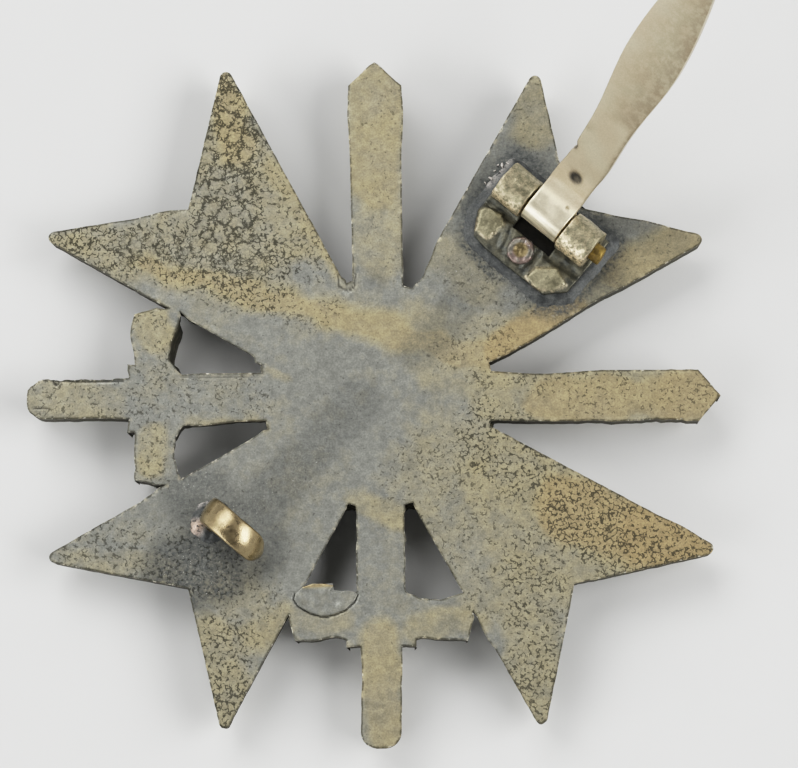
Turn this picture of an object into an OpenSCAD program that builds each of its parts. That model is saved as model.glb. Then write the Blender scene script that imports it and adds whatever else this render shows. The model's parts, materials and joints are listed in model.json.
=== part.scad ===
// Pin-back merit cross with two crossed swords, lying on its front with the pin swung open.
// Millimetres. X runs along one sword, Y along the other, Z out of the back of the cross.
// The origin is the middle of the flat boss on the front, which is what the cross rests on.

/* [Cross] */
// Distance of a spike's rounded tip from the middle, measured along the nearer sword
spike_reach = 23.3; // [22:0.1:25]
// Distance of the middle of a spike's tip from the nearer sword's middle line
spike_side = 11.1; // [10:0.1:12]
// Radius of a worn spike tip
spike_tip_r = 0.45; // [0.3:0.05:0.6]
// Distance of the notch in an arm's end from each sword's middle line
end_notch = 13.55; // [13:0.05:14.5]
// Distance of the crotch between an arm and a sword from the middle
crotch_reach = 8.05; // [7.5:0.05:8.5]
// Distance of that crotch from the sword's middle line
crotch_side = 2.4; // [2.1:0.05:2.8]
// Thickness of the casting at the arms
plate_t = 2.4; // [2:0.1:2.8]

/* [Swords] */
// Distance of a sword's point from the middle
blade_reach = 24; // [23:0.1:25]
// Distance of the shoulders where the blade starts to point
shoulder_reach = 22.45; // [21.5:0.05:22.8]
// Width of the blade at the middle of the cross
blade_root_w = 3.5; // [3:0.05:3.8]
// Width of the blade at its shoulders
blade_tip_w = 3.75; // [3:0.05:4]
// How far the point of a blade stands off the sword's middle line
blade_drift = 0.25; // [0:0.05:0.4]
// Distance of the hilt's end from the middle
hilt_reach = 24.95; // [24:0.05:26]
// Width of the pommel
pommel_w = 2.85; // [2.4:0.05:3.2]
// Width of the grip at its waist
waist_w = 2.8; // [2:0.05:2.9]
// Distance of the guard's outer face from the middle
guard_reach = 17.35; // [17:0.05:17.8]
// Length of the guard at its outer face
guard_len = 12.1; // [11.5:0.1:12.6]
// Distance of the guard's inner face from the middle
guard_inner = 14.25; // [13.8:0.05:14.8]

/* [Front] */
// Height of the round boss over the front of the arms
boss_rise = 1.5; // [1.2:0.1:2.2]
// Radius of the boss
boss_r = 8.2; // [7.5:0.1:8.4]
// Radius of the flat face of the boss
boss_face_r = 7; // [6:0.1:7.2]
// Width of the raised border round each arm
border_w = 0.9; // [0.7:0.05:1.2]
// Depth of the field inside the border
field_depth = 0.35; // [0.2:0.05:0.5]
// Height of the ridge along each blade
ridge_rise = 0.5; // [0.3:0.05:0.7]

/* [Hinge] */
// Place of the hinge's middle along X
hinge_x = 12.05; // [11.5:0.05:12.5]
// Place of the hinge's middle along Y
hinge_y = 12.4; // [12:0.1:13]
// Direction of the hinge's axle, in degrees from X
axle_azimuth = -40; // [-42:0.5:-38]
// Height of the axle over the back of the cross
axle_h = 2.2; // [2.1:0.05:2.4]
// Radius of the axle
axle_r = 0.65; // [0.6:0.01:0.68]
// Radius of the two fixed knuckles
knuckle_r = 1.5; // [1.4:0.05:1.6]
// Thickness of the hinge's plate
hinge_plate_t = 0.7; // [0.5:0.05:0.8]
// Gap between the fixed knuckles, where the pin's eye turns
knuckle_gap = 3.35; // [3.25:0.05:3.5]
// Radius of the rivet's head
rivet_r = 0.85; // [0.7:0.05:0.9]

/* [Pin] */
// Length of the strip from its bend behind the hinge to its point
strip_l = 33; // [32:0.5:35]
// Thickness of the pin's strip
pin_t = 0.6; // [0.5:0.05:0.6]
// Width of the strip where it wraps the axle
pin_root_w = 3.05; // [2.6:0.05:3.1]
// Width of the strip at its widest
pin_belly_w = 4.2; // [3.4:0.05:4.5]
// Length of the level root between the eye and the bend
root_l = 1.5; // [1:0.1:1.8]
// Inside radius of the bend
bend_r = 0.9; // [0.7:0.1:1.2]
// How far the strip stands off the middle of its eye, along the axle
pin_shift = 0.3; // [0.2:0.05:0.6]
// Slope of the open pin past its bend, in degrees over the back
pin_open_deg = 52; // [48:1:56]
// Radius of the bow in the strip
bow_r = 280; // [200:10:400]

/* [Catch] */
// Place of the catch's middle along X
catch_x = -10.35; // [-10.8:0.05:-10.2]
// Place of the catch's middle along Y
catch_y = -9.85; // [-10.1:0.05:-9.4]
// Direction in which the catch opens, in degrees from X
catch_azimuth = -33; // [-37:0.5:-31]
// Outer radius of the catch
catch_r = 2.6; // [2.2:0.05:2.65]
// Thickness of the catch's half-round wire
catch_t = 0.9; // [0.6:0.05:0.95]
// Width of the catch's half-round wire
catch_w = 1.9; // [1.4:0.05:2]

/* [Hidden] */
$fn = 64;
lap = 0.1;                                   // how far joined shapes reach into each other
running_gap = 0.05;                          // radial clearance of the pin's eye on its axle
seat_gap = 0.02;                             // clearance of the axle and rivet in their seats
// How far each arm's two spikes stray from even places, each [out, aside] in the arm's own quadrant
spike_strays = [[[-0.4, -0.15], [0.1, -0.25]],
                [[0.3, -0.25], [0.55, 0.2]],
                [[0, 0.15], [-0.15, -0.05]],
                [[0, 0], [0, 0]]];
arm_count = len(spike_strays);
back_z = boss_rise + plate_t;
boss_step = 0.5;                             // height of the rim below the boss's flat face
grip_end_r = 1.1;                            // corner radius at the hilt's end
block_w = 4.9;                               // block between the guard and the grip
block_reach = guard_reach + 0.5;
knuckle_l = 2.4;                             // length of one knuckle
plate_half_l = 4.35;                         // half the hinge plate's length along the axle
plate_front = -4.45;                         // front and rear edges of the hinge plate
plate_rear = 1.5;
slot_front = -2.1;                           // front end of the slot under the pin's eye
rivet_at = [0.05, -3.1];
rivet_shank_r = 0.4;
rivet_head_h = 0.45;
rivet_l = 1.5;
axle_stub = 0.85;                            // bare end of the axle past the outer knuckle
solder_w = 0.45;
solder_h = 0.25;
catch_h = 1.2;                               // height of the catch's centre over the back
catch_free_deg = -5;                         // where the catch's wire ends
catch_foot_deg = 235;                        // where it runs into the back
shift_l = 3;                                 // stretch of strip in which its shift comes in
belly_from = 6;                              // stations along the strip, from its bend
belly_at = 14;
needle_from = 27;
needle_half_w = 0.35;
bow_steps = 10;

function polar(r, a) = [r * cos(a), r * sin(a)];
function swap(points) = [for (i = [len(points) - 1 : -1 : 0]) [points[i].y, points[i].x]];
function mirrored(points) = [for (i = [len(points) - 1 : -1 : 0]) [-points[i].x, points[i].y]];
// Angle on a circle at which a line from an outside point touches it
function touch(p, c, r, side) = atan2(p.y - c.y, p.x - c.x) + side * acos(r / norm(p - c));
function arc(c, r, from, to, steps) =
    [for (i = [0 : steps]) c + polar(r, from + (to - from) * i / steps)];

tip_c = [spike_reach - spike_tip_r, spike_side];
crotch = [crotch_reach, crotch_side];
notch = [end_notch, end_notch];
// Half an arm, from its crotch round the spike to the notch, in the quadrant X, Y > 0
function half_arm(stray) =
    let (c = tip_c + stray)
    concat([crotch], arc(c, spike_tip_r, touch(crotch, c, spike_tip_r, 1), touch(notch, c, spike_tip_r, -1), 6));

module arm_outline(strays) {
    far_stray = [strays[1].y, strays[1].x];
    polygon(concat([[0, 0]], half_arm(strays[0]), [notch], swap(half_arm(far_stray))));
}

// Outline of a sword whose blade points along +Y
module sword_outline(drift) {
    polygon([[-blade_root_w / 2, -guard_reach], [-blade_root_w / 2, 0],
             [drift - blade_tip_w / 2, shoulder_reach], [drift, blade_reach],
             [drift + blade_tip_w / 2, shoulder_reach], [blade_root_w / 2, 0],
             [blade_root_w / 2, -guard_reach]]);
    guard_outline();
    hilt_outline();
}

// The guard's inner face is hollowed a little between the blade and the arm
module guard_outline() {
    half = [[guard_len / 2, -guard_reach], [guard_len / 2 + 0.45, -15.8], [guard_len / 2 + 0.2, -guard_inner],
            [5.7, -guard_inner + 0.2], [4.2, -guard_inner - 0.25], [2.7, -guard_inner - 0.15],
            [blade_root_w / 2, -guard_inner + 0.4]];
    polygon(concat(half, mirrored(half)));
}

module hilt_outline() {
    end_c = [pommel_w / 2 - grip_end_r, -hilt_reach + grip_end_r];
    half = concat(arc(end_c, grip_end_r, -90, 0, 5),
                  [[pommel_w / 2, -21.4], [waist_w / 2, -20.3], [pommel_w / 2 + 0.05, -block_reach + lap],
                   [block_w / 2, -block_reach], [block_w / 2, -guard_reach + lap]]);
    polygon(concat(half, mirrored(half)));
}

module cross_outline() {
    for (i = [0 : arm_count - 1])
        rotate(90 * i) arm_outline(spike_strays[i]);
    sword_outline(-blade_drift);
    rotate(-90) sword_outline(blade_drift);
    circle(r = crotch_reach);
}

// The casting: a flat back, and on the front a boss, bordered arms and swords in low relief
module casting() {
    color([0.52, 0.52, 0.46])
    union() {
        difference() {
            translate([0, 0, boss_rise]) linear_extrude(plate_t) cross_outline();
            for (i = [0 : arm_count - 1])
                rotate(90 * i) arm_field();
        }
        boss();
        sword_relief();
        rotate(-90) sword_relief();
        casting_flash();
    }
}

// Sunk field on the front of an arm, inside a border of even width
module arm_field() {
    run = crotch - tip_c;
    along = run / norm(run);
    inward = [-along.y, along.x];
    near = crotch + inward * -border_w - along * 2.5;
    far = tip_c + inward * -border_w * 0.55 + along * 2.6;
    field = [near, far, notch - [border_w, border_w] * 1.15];
    translate([0, 0, boss_rise - lap])
        linear_extrude(field_depth + lap)
            polygon(concat(field, swap([near, far])));
}

module boss() {
    translate([0, 0, boss_step]) cylinder(r = boss_r, h = boss_rise - boss_step + lap);
    cylinder(r = boss_face_r, h = boss_step + lap);
}

// Ridge of the blade, raised guard and rounded grip on the front of a sword
module sword_relief() {
    ridge_half = blade_root_w / 2 - 0.3;
    ridge_from = boss_r - 0.5;
    guard_half = guard_len / 2 - 0.4;
    translate([0, ridge_from, boss_rise + lap])
        rotate([-90, 0, 0])
            linear_extrude(shoulder_reach - 0.4 - ridge_from)
                polygon([[-ridge_half, 0], [ridge_half, 0], [ridge_half, lap], [0, lap + ridge_rise], [-ridge_half, lap]]);
    translate([-guard_half, -guard_reach + 0.3, boss_rise - 0.6])
        cube([2 * guard_half, 2.3, 0.6 + lap]);
    translate([0, -hilt_reach + 0.5, boss_rise + 0.2])
        rotate([-90, 0, 0]) cylinder(r = 1.05, h = hilt_reach - guard_reach);
}

// Metal smeared over the end of one hole when the casting was trimmed
module casting_flash() {
    translate([0, 0, back_z - 0.3])
        linear_extrude(0.3)
            polygon([[-5.3, -14.5], [-5, -13.4], [-3.4, -13.3], [-3.3, -13.8], [-1.6, -13.9], [-1.6, -14.6]]);
}

module at_hinge() {
    translate([hinge_x, hinge_y, back_z]) rotate([0, 0, axle_azimuth]) children();
}

// Axle-shaped cylinder between two places along the hinge's axis
module along_axle(r, from, to) {
    translate([from, 0, axle_h]) rotate([0, 90, 0]) cylinder(r = r, h = to - from);
}

// Soldered hinge plate with its two knuckles
module hinge_plate() {
    color([0.62, 0.58, 0.42])
    at_hinge() {
        difference() {
            translate([0, 0, -lap]) linear_extrude(hinge_plate_t + lap)
                difference() {
                    polygon([[-plate_half_l, -2.6], [-3.4, plate_front], [3.1, plate_front],
                             [plate_half_l, -3.3], [plate_half_l, plate_rear], [-plate_half_l, plate_rear]]);
                    translate([-knuckle_gap / 2, slot_front])
                        square([knuckle_gap, plate_rear - slot_front + 1]);
                }
            translate([rivet_at.x, rivet_at.y, -lap])
                cylinder(r = rivet_shank_r + seat_gap, h = hinge_plate_t + 2 * lap);
        }
        for (side = [-1, 1])
            knuckle(side);
    }
}

// A knuckle is a barrel on a foot as wide as the folded plate
module knuckle(side) {
    foot_half = knuckle_r - 0.2;
    from = side > 0 ? knuckle_gap / 2 : -knuckle_gap / 2 - knuckle_l;
    along_axle(knuckle_r, from, from + knuckle_l);
    translate([from, -foot_half, -lap]) cube([knuckle_l, 2 * foot_half, axle_h + lap]);
}

module axle_bore() {
    at_hinge() along_axle(axle_r + seat_gap, -knuckle_gap / 2 - knuckle_l - 1, knuckle_gap / 2 + knuckle_l + 1);
}

module rivet_bore() {
    at_hinge() translate([rivet_at.x, rivet_at.y, hinge_plate_t - rivet_l - seat_gap])
        cylinder(r = rivet_shank_r + seat_gap, h = rivet_l + 1);
}

// Solder round the hinge plate and at the catch's foot
module solder() {
    color([0.45, 0.46, 0.46]) {
        at_hinge()
            translate([0, 0, -lap])
                linear_extrude(solder_h + lap)
                    polygon([[-plate_half_l - solder_w, -2.8], [-3.6, plate_front - solder_w],
                             [3.3, plate_front - solder_w], [plate_half_l + solder_w, -3.4],
                             [plate_half_l + solder_w, plate_rear + solder_w],
                             [-plate_half_l - solder_w, plate_rear + solder_w]]);
        at_catch()
            translate([-1.95, 0, -lap]) cylinder(r1 = 1.5, r2 = 1, h = 0.5 + lap);
    }
}

module at_catch() {
    translate([catch_x, catch_y, back_z]) rotate([0, 0, catch_azimuth]) children();
}

// Half-round wire bent into a hook that is open on one side
module catch_hook() {
    wire_r = (pow(catch_w / 2, 2) + pow(catch_t, 2)) / (2 * catch_t);
    color([0.72, 0.62, 0.36])
    at_catch()
        translate([0, 0, catch_h])
            rotate([90, 0, 0])
                rotate([0, 0, catch_free_deg])
                    rotate_extrude(angle = catch_foot_deg - catch_free_deg)
                        intersection() {
                            translate([catch_r - wire_r, 0]) circle(r = wire_r);
                            translate([catch_r - catch_t, -catch_w]) square([catch_t + 1, 2 * catch_w]);
                        }
}

// The casting with all that is soldered to it
module cross() {
    difference() {
        union() {
            casting();
            hinge_plate();
            catch_hook();
            solder();
        }
        axle_bore();
        rivet_bore();
    }
}

module hinge_rivet() {
    dome_r = (pow(rivet_r, 2) + pow(rivet_head_h, 2)) / (2 * rivet_head_h);
    color([0.66, 0.47, 0.38])
    at_hinge()
        translate([rivet_at.x, rivet_at.y, hinge_plate_t + seat_gap]) {
            intersection() {
                translate([0, 0, rivet_head_h - dome_r]) sphere(r = dome_r);
                cylinder(r = rivet_r + 1, h = rivet_head_h + 1);
            }
            translate([0, 0, -rivet_l]) cylinder(r = rivet_shank_r, h = rivet_l + lap);
        }
}

module hinge_axle() {
    color([0.78, 0.62, 0.25])
    at_hinge()
        along_axle(axle_r, -knuckle_gap / 2 - knuckle_l + 0.05, knuckle_gap / 2 + knuckle_l + axle_stub);
}

function eased(t) = t * t * (3 - 2 * t);
function between(a, b, s, from, to) = a + (b - a) * eased((s - from) / (to - from));
// Half the strip's width at a distance from its bend: even, then a belly, then a long point
function half_width(s) =
    s < belly_from ? pin_root_w / 2
    : s < belly_at ? between(pin_root_w / 2, pin_belly_w / 2, s, belly_from, belly_at)
    : s < needle_from ? needle_half_w + (pin_belly_w / 2 - needle_half_w) * (1 - pow((s - belly_at) / (needle_from - belly_at), 1.8))
    : between(needle_half_w, 0.15, s, needle_from, strip_l);
function strip_middle(s) = s < shift_l ? between(0, pin_shift, s, 0, shift_l) : pin_shift;

// Bowed strip from the bend to the point, starting at the origin and running along X
module strip() {
    stations = concat([-lap / 2, 0], [for (s = [1 : 2 : strip_l - 1]) s], [strip_l - 0.3, strip_l]);
    near = [for (s = stations) [s, strip_middle(max(s, 0)) - half_width(s)]];
    far = [for (i = [len(stations) - 1 : -1 : 0])
               [stations[i], strip_middle(max(stations[i], 0)) + half_width(stations[i])]];
    from = -90 - lap / bow_r * 180 / PI;
    to = -90 + (strip_l + 1) / bow_r * 180 / PI;
    intersection() {
        translate([0, 0, -pin_belly_w])
            linear_extrude(2 * pin_belly_w)
                polygon(concat(arc([0, bow_r], bow_r + pin_t / 2, from, to, bow_steps),
                               arc([0, bow_r], bow_r - pin_t / 2, to, from, bow_steps)));
        translate([0, 6, 0]) rotate([90, 0, 0]) linear_extrude(8) polygon(concat(near, far));
    }
}

// The strip wraps the axle, runs level, bends up and is bowed so that it springs when closed
module pin() {
    eye_r = axle_r + running_gap;
    outer_r = eye_r + pin_t;
    color([0.76, 0.7, 0.6])
    at_hinge()
        translate([0, 0, axle_h])
            rotate([90, 0, 90]) {
                difference() {
                    union() {
                        translate([0, 0, -pin_root_w / 2]) cylinder(r = outer_r, h = pin_root_w);
                        translate([0, eye_r, -pin_root_w / 2]) cube([root_l + lap / 2, pin_t, pin_root_w]);
                    }
                    translate([0, 0, -pin_root_w]) cylinder(r = eye_r, h = 2 * pin_root_w);
                }
                translate([root_l, outer_r + bend_r, 0]) {
                    rotate([0, 0, -90])
                        rotate_extrude(angle = pin_open_deg)
                            translate([bend_r, -pin_root_w / 2]) square([pin_t, pin_root_w]);
                    rotate([0, 0, pin_open_deg])
                        translate([0, -bend_r - pin_t / 2, 0]) strip();
                }
            }
}

cross();
hinge_rivet();
hinge_axle();
pin();
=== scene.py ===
import json
import math

import bmesh
import bpy
import numpy as np
from bpy.props import FloatProperty, FloatVectorProperty, PointerProperty
from mathutils import Matrix, Vector, kdtree, noise


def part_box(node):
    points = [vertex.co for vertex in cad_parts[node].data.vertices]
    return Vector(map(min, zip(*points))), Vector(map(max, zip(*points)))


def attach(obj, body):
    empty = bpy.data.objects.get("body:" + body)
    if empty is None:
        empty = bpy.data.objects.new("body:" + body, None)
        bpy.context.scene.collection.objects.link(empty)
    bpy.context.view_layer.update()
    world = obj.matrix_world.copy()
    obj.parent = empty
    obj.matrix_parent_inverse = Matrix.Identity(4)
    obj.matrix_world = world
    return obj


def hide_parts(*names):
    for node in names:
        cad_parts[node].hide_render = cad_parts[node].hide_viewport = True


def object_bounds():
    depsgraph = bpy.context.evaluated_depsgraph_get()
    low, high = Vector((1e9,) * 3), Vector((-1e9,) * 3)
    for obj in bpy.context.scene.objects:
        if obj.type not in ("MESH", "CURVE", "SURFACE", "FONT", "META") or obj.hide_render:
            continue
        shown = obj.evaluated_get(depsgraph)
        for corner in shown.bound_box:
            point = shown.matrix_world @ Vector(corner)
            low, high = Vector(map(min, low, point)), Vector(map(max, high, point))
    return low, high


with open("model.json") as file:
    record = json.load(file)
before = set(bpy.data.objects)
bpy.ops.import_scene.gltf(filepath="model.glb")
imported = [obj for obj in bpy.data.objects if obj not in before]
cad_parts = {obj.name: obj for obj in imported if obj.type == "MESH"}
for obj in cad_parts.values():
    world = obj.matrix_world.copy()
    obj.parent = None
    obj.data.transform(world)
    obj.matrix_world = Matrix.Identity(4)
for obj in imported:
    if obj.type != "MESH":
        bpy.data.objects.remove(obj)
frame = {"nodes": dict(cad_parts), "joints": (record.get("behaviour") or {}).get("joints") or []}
CAD_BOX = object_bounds()

bl_info = {
    "name": "Merit Cross",
    "version": (1, 0, 0),
    "blender": (4, 5, 0),
    "location": "3D View > Sidebar > Merit Cross",
    "description": "Builds the looks of a pin-back merit cross around its packed frame, and a studio for it",
    "category": "Add Mesh",
}

# Shapes are worked out in millimetres and scaled to metres when a piece is finished.
MM = 0.001
WELD = 0.0005
SHARP = math.radians(38)

SWING = frame["joints"][0]
AXLE_HEIGHT = 2.2
AXLE_RADIUS = 0.65
HINGE = Vector(SWING["pos_m"]) / MM
BACK = HINGE.z - AXLE_HEIGHT
AXLE_TURN = math.atan2(SWING["axis"][1], SWING["axis"][0])
KNUCKLE_IN = 1.675
KNUCKLE_OUT = 4.075
CATCH_AT = (-10.35, -9.85)
CATCH_TURN = math.radians(-33)
FRONT_FACE = 1.5

AT_HINGE = Matrix.Translation((HINGE.x, HINGE.y, BACK)) @ Matrix.Rotation(AXLE_TURN, 4, "Z")
AT_CATCH = Matrix.Translation((*CATCH_AT, BACK)) @ Matrix.Rotation(CATCH_TURN, 4, "Z")

# Tarnish on the back, and last where the back is flecked and sparkles with painted highlights; each row a soft stroke:
# from x, y, to x, y, half width, fade, strength.
KHAKI = (
    (-21.9, 11.2, -16.3, 9.4, 0.6, 1.0, 0.55),
    (-16.3, 9.4, -3.5, 6.0, 0.5, 1.0, 0.75),
    (-3.5, 6.0, 8.1, 2.3, 0.7, 1.1, 0.75),
    (-11.1, 22.6, -10.2, 17.9, 1.0, 1.1, 0.75),
    (-9.1, 16.8, -5.6, 11.3, 0.9, 1.3, 0.5),
    (-11.6, 13.2, -14.1, 12.5, 1.0, 1.3, 0.35),
    (-10.6, 17.0, -8.5, 11.0, 2.0, 2.0, 0.32),
    (-20.5, 11.4, -13.0, 10.8, 0.8, 1.6, 0.38),
    (-7.4, 16.4, -2.8, 9.1, 0.4, 0.9, 0.68),
    (-0.3, 22.5, 0.0, 15.2, 1.7, 1.0, 0.7),
    (0.1, 15.2, 0.4, 10.5, 1.6, 1.1, 0.48),
    (11.1, 22.0, 10.8, 18.7, 1.0, 1.0, 0.55),
    (5.4, 10.4, 6.8, 7.9, 1.0, 1.3, 0.5),
    (2.5, 4.9, 8.3, 4.6, 0.7, 1.4, 0.45),
    (8.5, 3.0, 13.2, 5.9, 1.2, 1.3, 0.92),
    (13.2, 6.0, 20.0, 9.6, 0.7, 1.0, 0.5),
    (17.1, 8.8, 22.4, 11.1, 1.1, 1.1, 0.75),
    (4.0, 1.6, 10.5, -0.6, 0.8, 1.2, 0.5),
    (9.5, -0.8, 15.5, -0.6, 0.7, 1.1, 0.5),
    (12.0, -0.4, 22.9, -0.2, 1.2, 1.6, 0.78),
    (20.5, -0.3, 23.0, -0.3, 1.2, 3.0, 0.82),
    (4.5, -4.0, 9.8, -6.1, 1.6, 3.0, 0.36),
    (5.0, -7.5, 9.0, -12.0, 2.4, 3.0, 0.34),
    (8.5, 0.0, 23.0, 0.0, 1.8, 0.8, 0.58),
    (9.5, -9.5, 13.5, -12.5, 2.0, 2.0, 0.5),
    (8.8, -5.8, 15.4, -9.0, 2.2, 3.0, 0.62),
    (13.0, -8.2, 22.3, -11.2, 1.6, 3.0, 0.87),
    (18.5, -10.1, 22.6, -11.3, 1.2, 3.6, 1.0),
    (9.7, -13.2, 11.0, -21.6, 1.4, 1.6, 0.55),
    (4.1, -11.7, 8.3, -14.6, 1.0, 1.4, 0.35),
    (-1.8, -7.1, 1.7, -8.9, 0.5, 0.6, 0.6),
    (-6.4, -16.0, -2.9, -15.9, 0.6, 0.6, 0.35),
    (2.7, -16.3, 6.6, -16.0, 0.8, 0.7, 0.55),
    (-0.1, -17.3, 0.2, -24.0, 1.2, 0.8, 0.7),
    (-8.8, -17.2, -7.2, -15.7, 0.6, 1.2, 0.66),
    (-11.6, -17.2, -10.9, -22.1, 1.3, 1.0, 0.58),
    (-11.3, -13.7, -9.2, -14.4, 1.0, 1.1, 0.3),
    (-22.5, -11.2, -14.8, -12.2, 0.4, 0.7, 0.35),
    (-15.9, 5.6, -15.7, 4.3, 1.0, 0.6, 0.62),
    (-15.9, -3.0, -16.2, -4.6, 0.9, 0.6, 0.6),
    (-24.0, 0.1, -19.4, -0.2, 0.9, 0.9, 0.35),
    (-8.3, 1.9, -6.3, 1.2, 0.1, 0.4, 0.5),
    (-13.8, -1.7, -8.3, -2.0, 0.2, 0.4, 0.5),
)
SMOKE = (
    (6.1, 6.8, 2.9, 3.2, 0.7, 1.3, 0.5),
    (-1.4, -0.4, -9.0, -8.2, 1.1, 1.2, 0.48),
    (7.8, 14.2, 14.6, 8.6, 2.6, 2.2, 0.5),
    (8.8, 17.6, 12.4, 15.6, 0.7, 1.2, 0.5),
    (-12.3, -11.9, -13.5, -12.6, 1.8, 2.4, 1.0),
    (-12.7, -6.6, -13.2, -7.4, 1.2, 1.5, 0.6),
    (-11.2, -9.4, -9.6, -10.4, 2.2, 1.6, 0.6),
    (5.0, 9.0, 10.0, 6.0, 0.3, 1.3, 0.42),
    (10.9, 21.0, 10.6, 17.0, 1.2, 1.6, 0.3),
    (17.0, 11.2, 20.5, 11.6, 0.9, 1.8, 0.3),
    (-0.1, 8.3, 0.1, 8.5, 0.3, 0.8, 0.4),
)
CRACKLE = (
    (-11.0, 22.5, -10.6, 12.5, 1.9, 1.6, 1.0),
    (-17.5, 10.9, -9.0, 9.7, 1.3, 1.4, 0.87),
    (-14.0, 10.5, -8.5, 9.0, 2.0, 2.4, 0.72),
    (-22.7, 11.5, -15.5, 11.0, 1.2, 1.6, 0.74),
    (-8.4, 17.5, -4.0, 9.0, 0.8, 1.8, 0.55),
    (-16.2, 5.5, -16.0, -5.5, 1.2, 0.8, 0.47),
    (-24.0, 0.0, -9.0, 0.0, 1.2, 1.0, 0.45),
    (22.3, -11.2, 15.0, -9.0, 2.6, 2.4, 0.78),
    (15.4, -8.3, 8.0, -3.0, 1.9, 2.8, 0.68),
    (10.4, -12.0, 11.0, -21.6, 1.8, 1.8, 0.62),
    (4.0, -6.0, 9.0, -12.0, 3.2, 3.0, 0.48),
    (7.5, 1.8, 17.0, 0.8, 0.9, 1.2, 0.55),
    (14.0, 0.0, 23.5, 0.0, 1.2, 1.2, 0.48),
    (0.0, 23.0, 0.0, 10.0, 1.2, 0.8, 0.25),
    (-22.5, -11.3, -14.5, -11.0, 1.8, 1.4, 0.52),
    (-14.0, -12.6, -10.5, -12.4, 1.6, 1.6, 0.56),
    (4.5, 8.8, 8.5, 6.3, 0.6, 1.2, 0.36),
    (-11.6, -22.4, -10.6, -17.0, 1.5, 1.3, 0.7),
    (-13.0, -13.5, -9.0, -14.5, 1.5, 2.0, 0.5),
    (-11.5, 7.5, -4.0, 6.0, 1.0, 1.5, 0.45),
    (8.0, 4.4, 5.0, 3.0, 1.0, 1.5, 0.45),
    (11.0, 22.0, 10.5, 18.0, 1.0, 1.2, 0.3),
    (6.5, 10.6, 10.9, 6.2, 0.5, 1.0, 0.42),
    (17.0, 9.5, 22.0, 11.0, 1.0, 1.2, 0.35),
)
# Where the back has pale flecks, with painted highlights among them as sparkles.
GLINTS = (
    (-12.3, -11.9, -13.5, -12.6, 1.4, 1.4, 0.7),
    (-12.7, -6.6, -9.0, -7.0, 1.0, 1.3, 0.5),
    (5.6, 8.6, 14.0, 5.9, 0.5, 1.0, 0.45),
    (-5.5, -6.5, -4.6, -4.0, 0.4, 1.2, 0.45),
)

# Cracks and seams in the back: the points that each runs through, its half width, its depth and how sooty it is.
SEAMS = (
    (((-1.66, -14.13), (-1.85, -14.62), (-2.5, -15.2), (-3.3, -15.55), (-4.1, -15.68), (-5.0, -15.4), (-5.85, -14.9),
      (-6.13, -14.44), (-6.08, -13.99)), 0.045, 0.1, 0.8),
    (((-2.93, 8.75), (-2.83, 7.87), (-2.18, 7.53), (-1.74, 7.85), (-1.68, 8.73)), 0.05, 0.08, 0.7),
    (((-24.5, -0.68), (-23.35, -0.65)), 0.035, 0.05, 0.5),
    (((-23.05, 1.2), (-22.87, 1.02), (-22.7, 1.2)), 0.06, 0.1, 0.8),
    (((-23.12, 1.38), (-21.19, 1.2), (-18.12, 1.24)), 0.045, 0.06, 0.7),
    (((-14.1, 1.47), (-11.3, 1.4), (-8.4, 1.47)), 0.035, 0.03, 0.35),
)
# Outline of the smear of metal over a hole's end, inside the long crack.
SMEAR = (
    (-6.0, -14.0), (-5.47, -13.54), (-4.78, -13.3), (-3.9, -13.35), (-3.3, -13.45), (-3.6, -13.82), (-2.92, -13.98),
    (-2.5, -13.82), (-1.84, -13.88), (-1.68, -14.13), (-1.88, -14.55), (-2.5, -15.12), (-3.3, -15.47), (-4.1, -15.6),
    (-5.0, -15.32), (-5.8, -14.85), (-6.06, -14.42),
)

# Where the walls are ragged: lowest x, y, highest x, y and how far they stray.
RAGGED = (
    (-23.6, 0.9, -16.8, 2.9, 0.1),
    (-18.0, -2.9, -13.2, -1.2, 0.12),
    (-18.2, -6.6, -15.2, -4.6, 0.12),
    (-14.9, -6.0, -13.4, -1.9, 0.12),
    (-14.9, 1.5, -13.2, 2.9, 0.14),
    (-2.2, -14.0, -1.2, -7.0, 0.09),
    (1.2, -14.0, 2.3, -7.0, 0.11),
    (12.8, -14.2, 14.6, -12.4, 0.1),
    (14.0, -3.0, 24.2, -1.2, 0.1),
)
# The walls lean in a little towards the front, more so in the four holes, but one wall there leans out.
DRAFT = -0.18
LEANS = (
    (-13.6, -6.2, -7.6, 6.3, -0.3),
    (-7.5, -14.2, 7.2, -6.6, -0.3),
    (-15.6, 1.4, -13.6, 5.5, 0.26),
)
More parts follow.
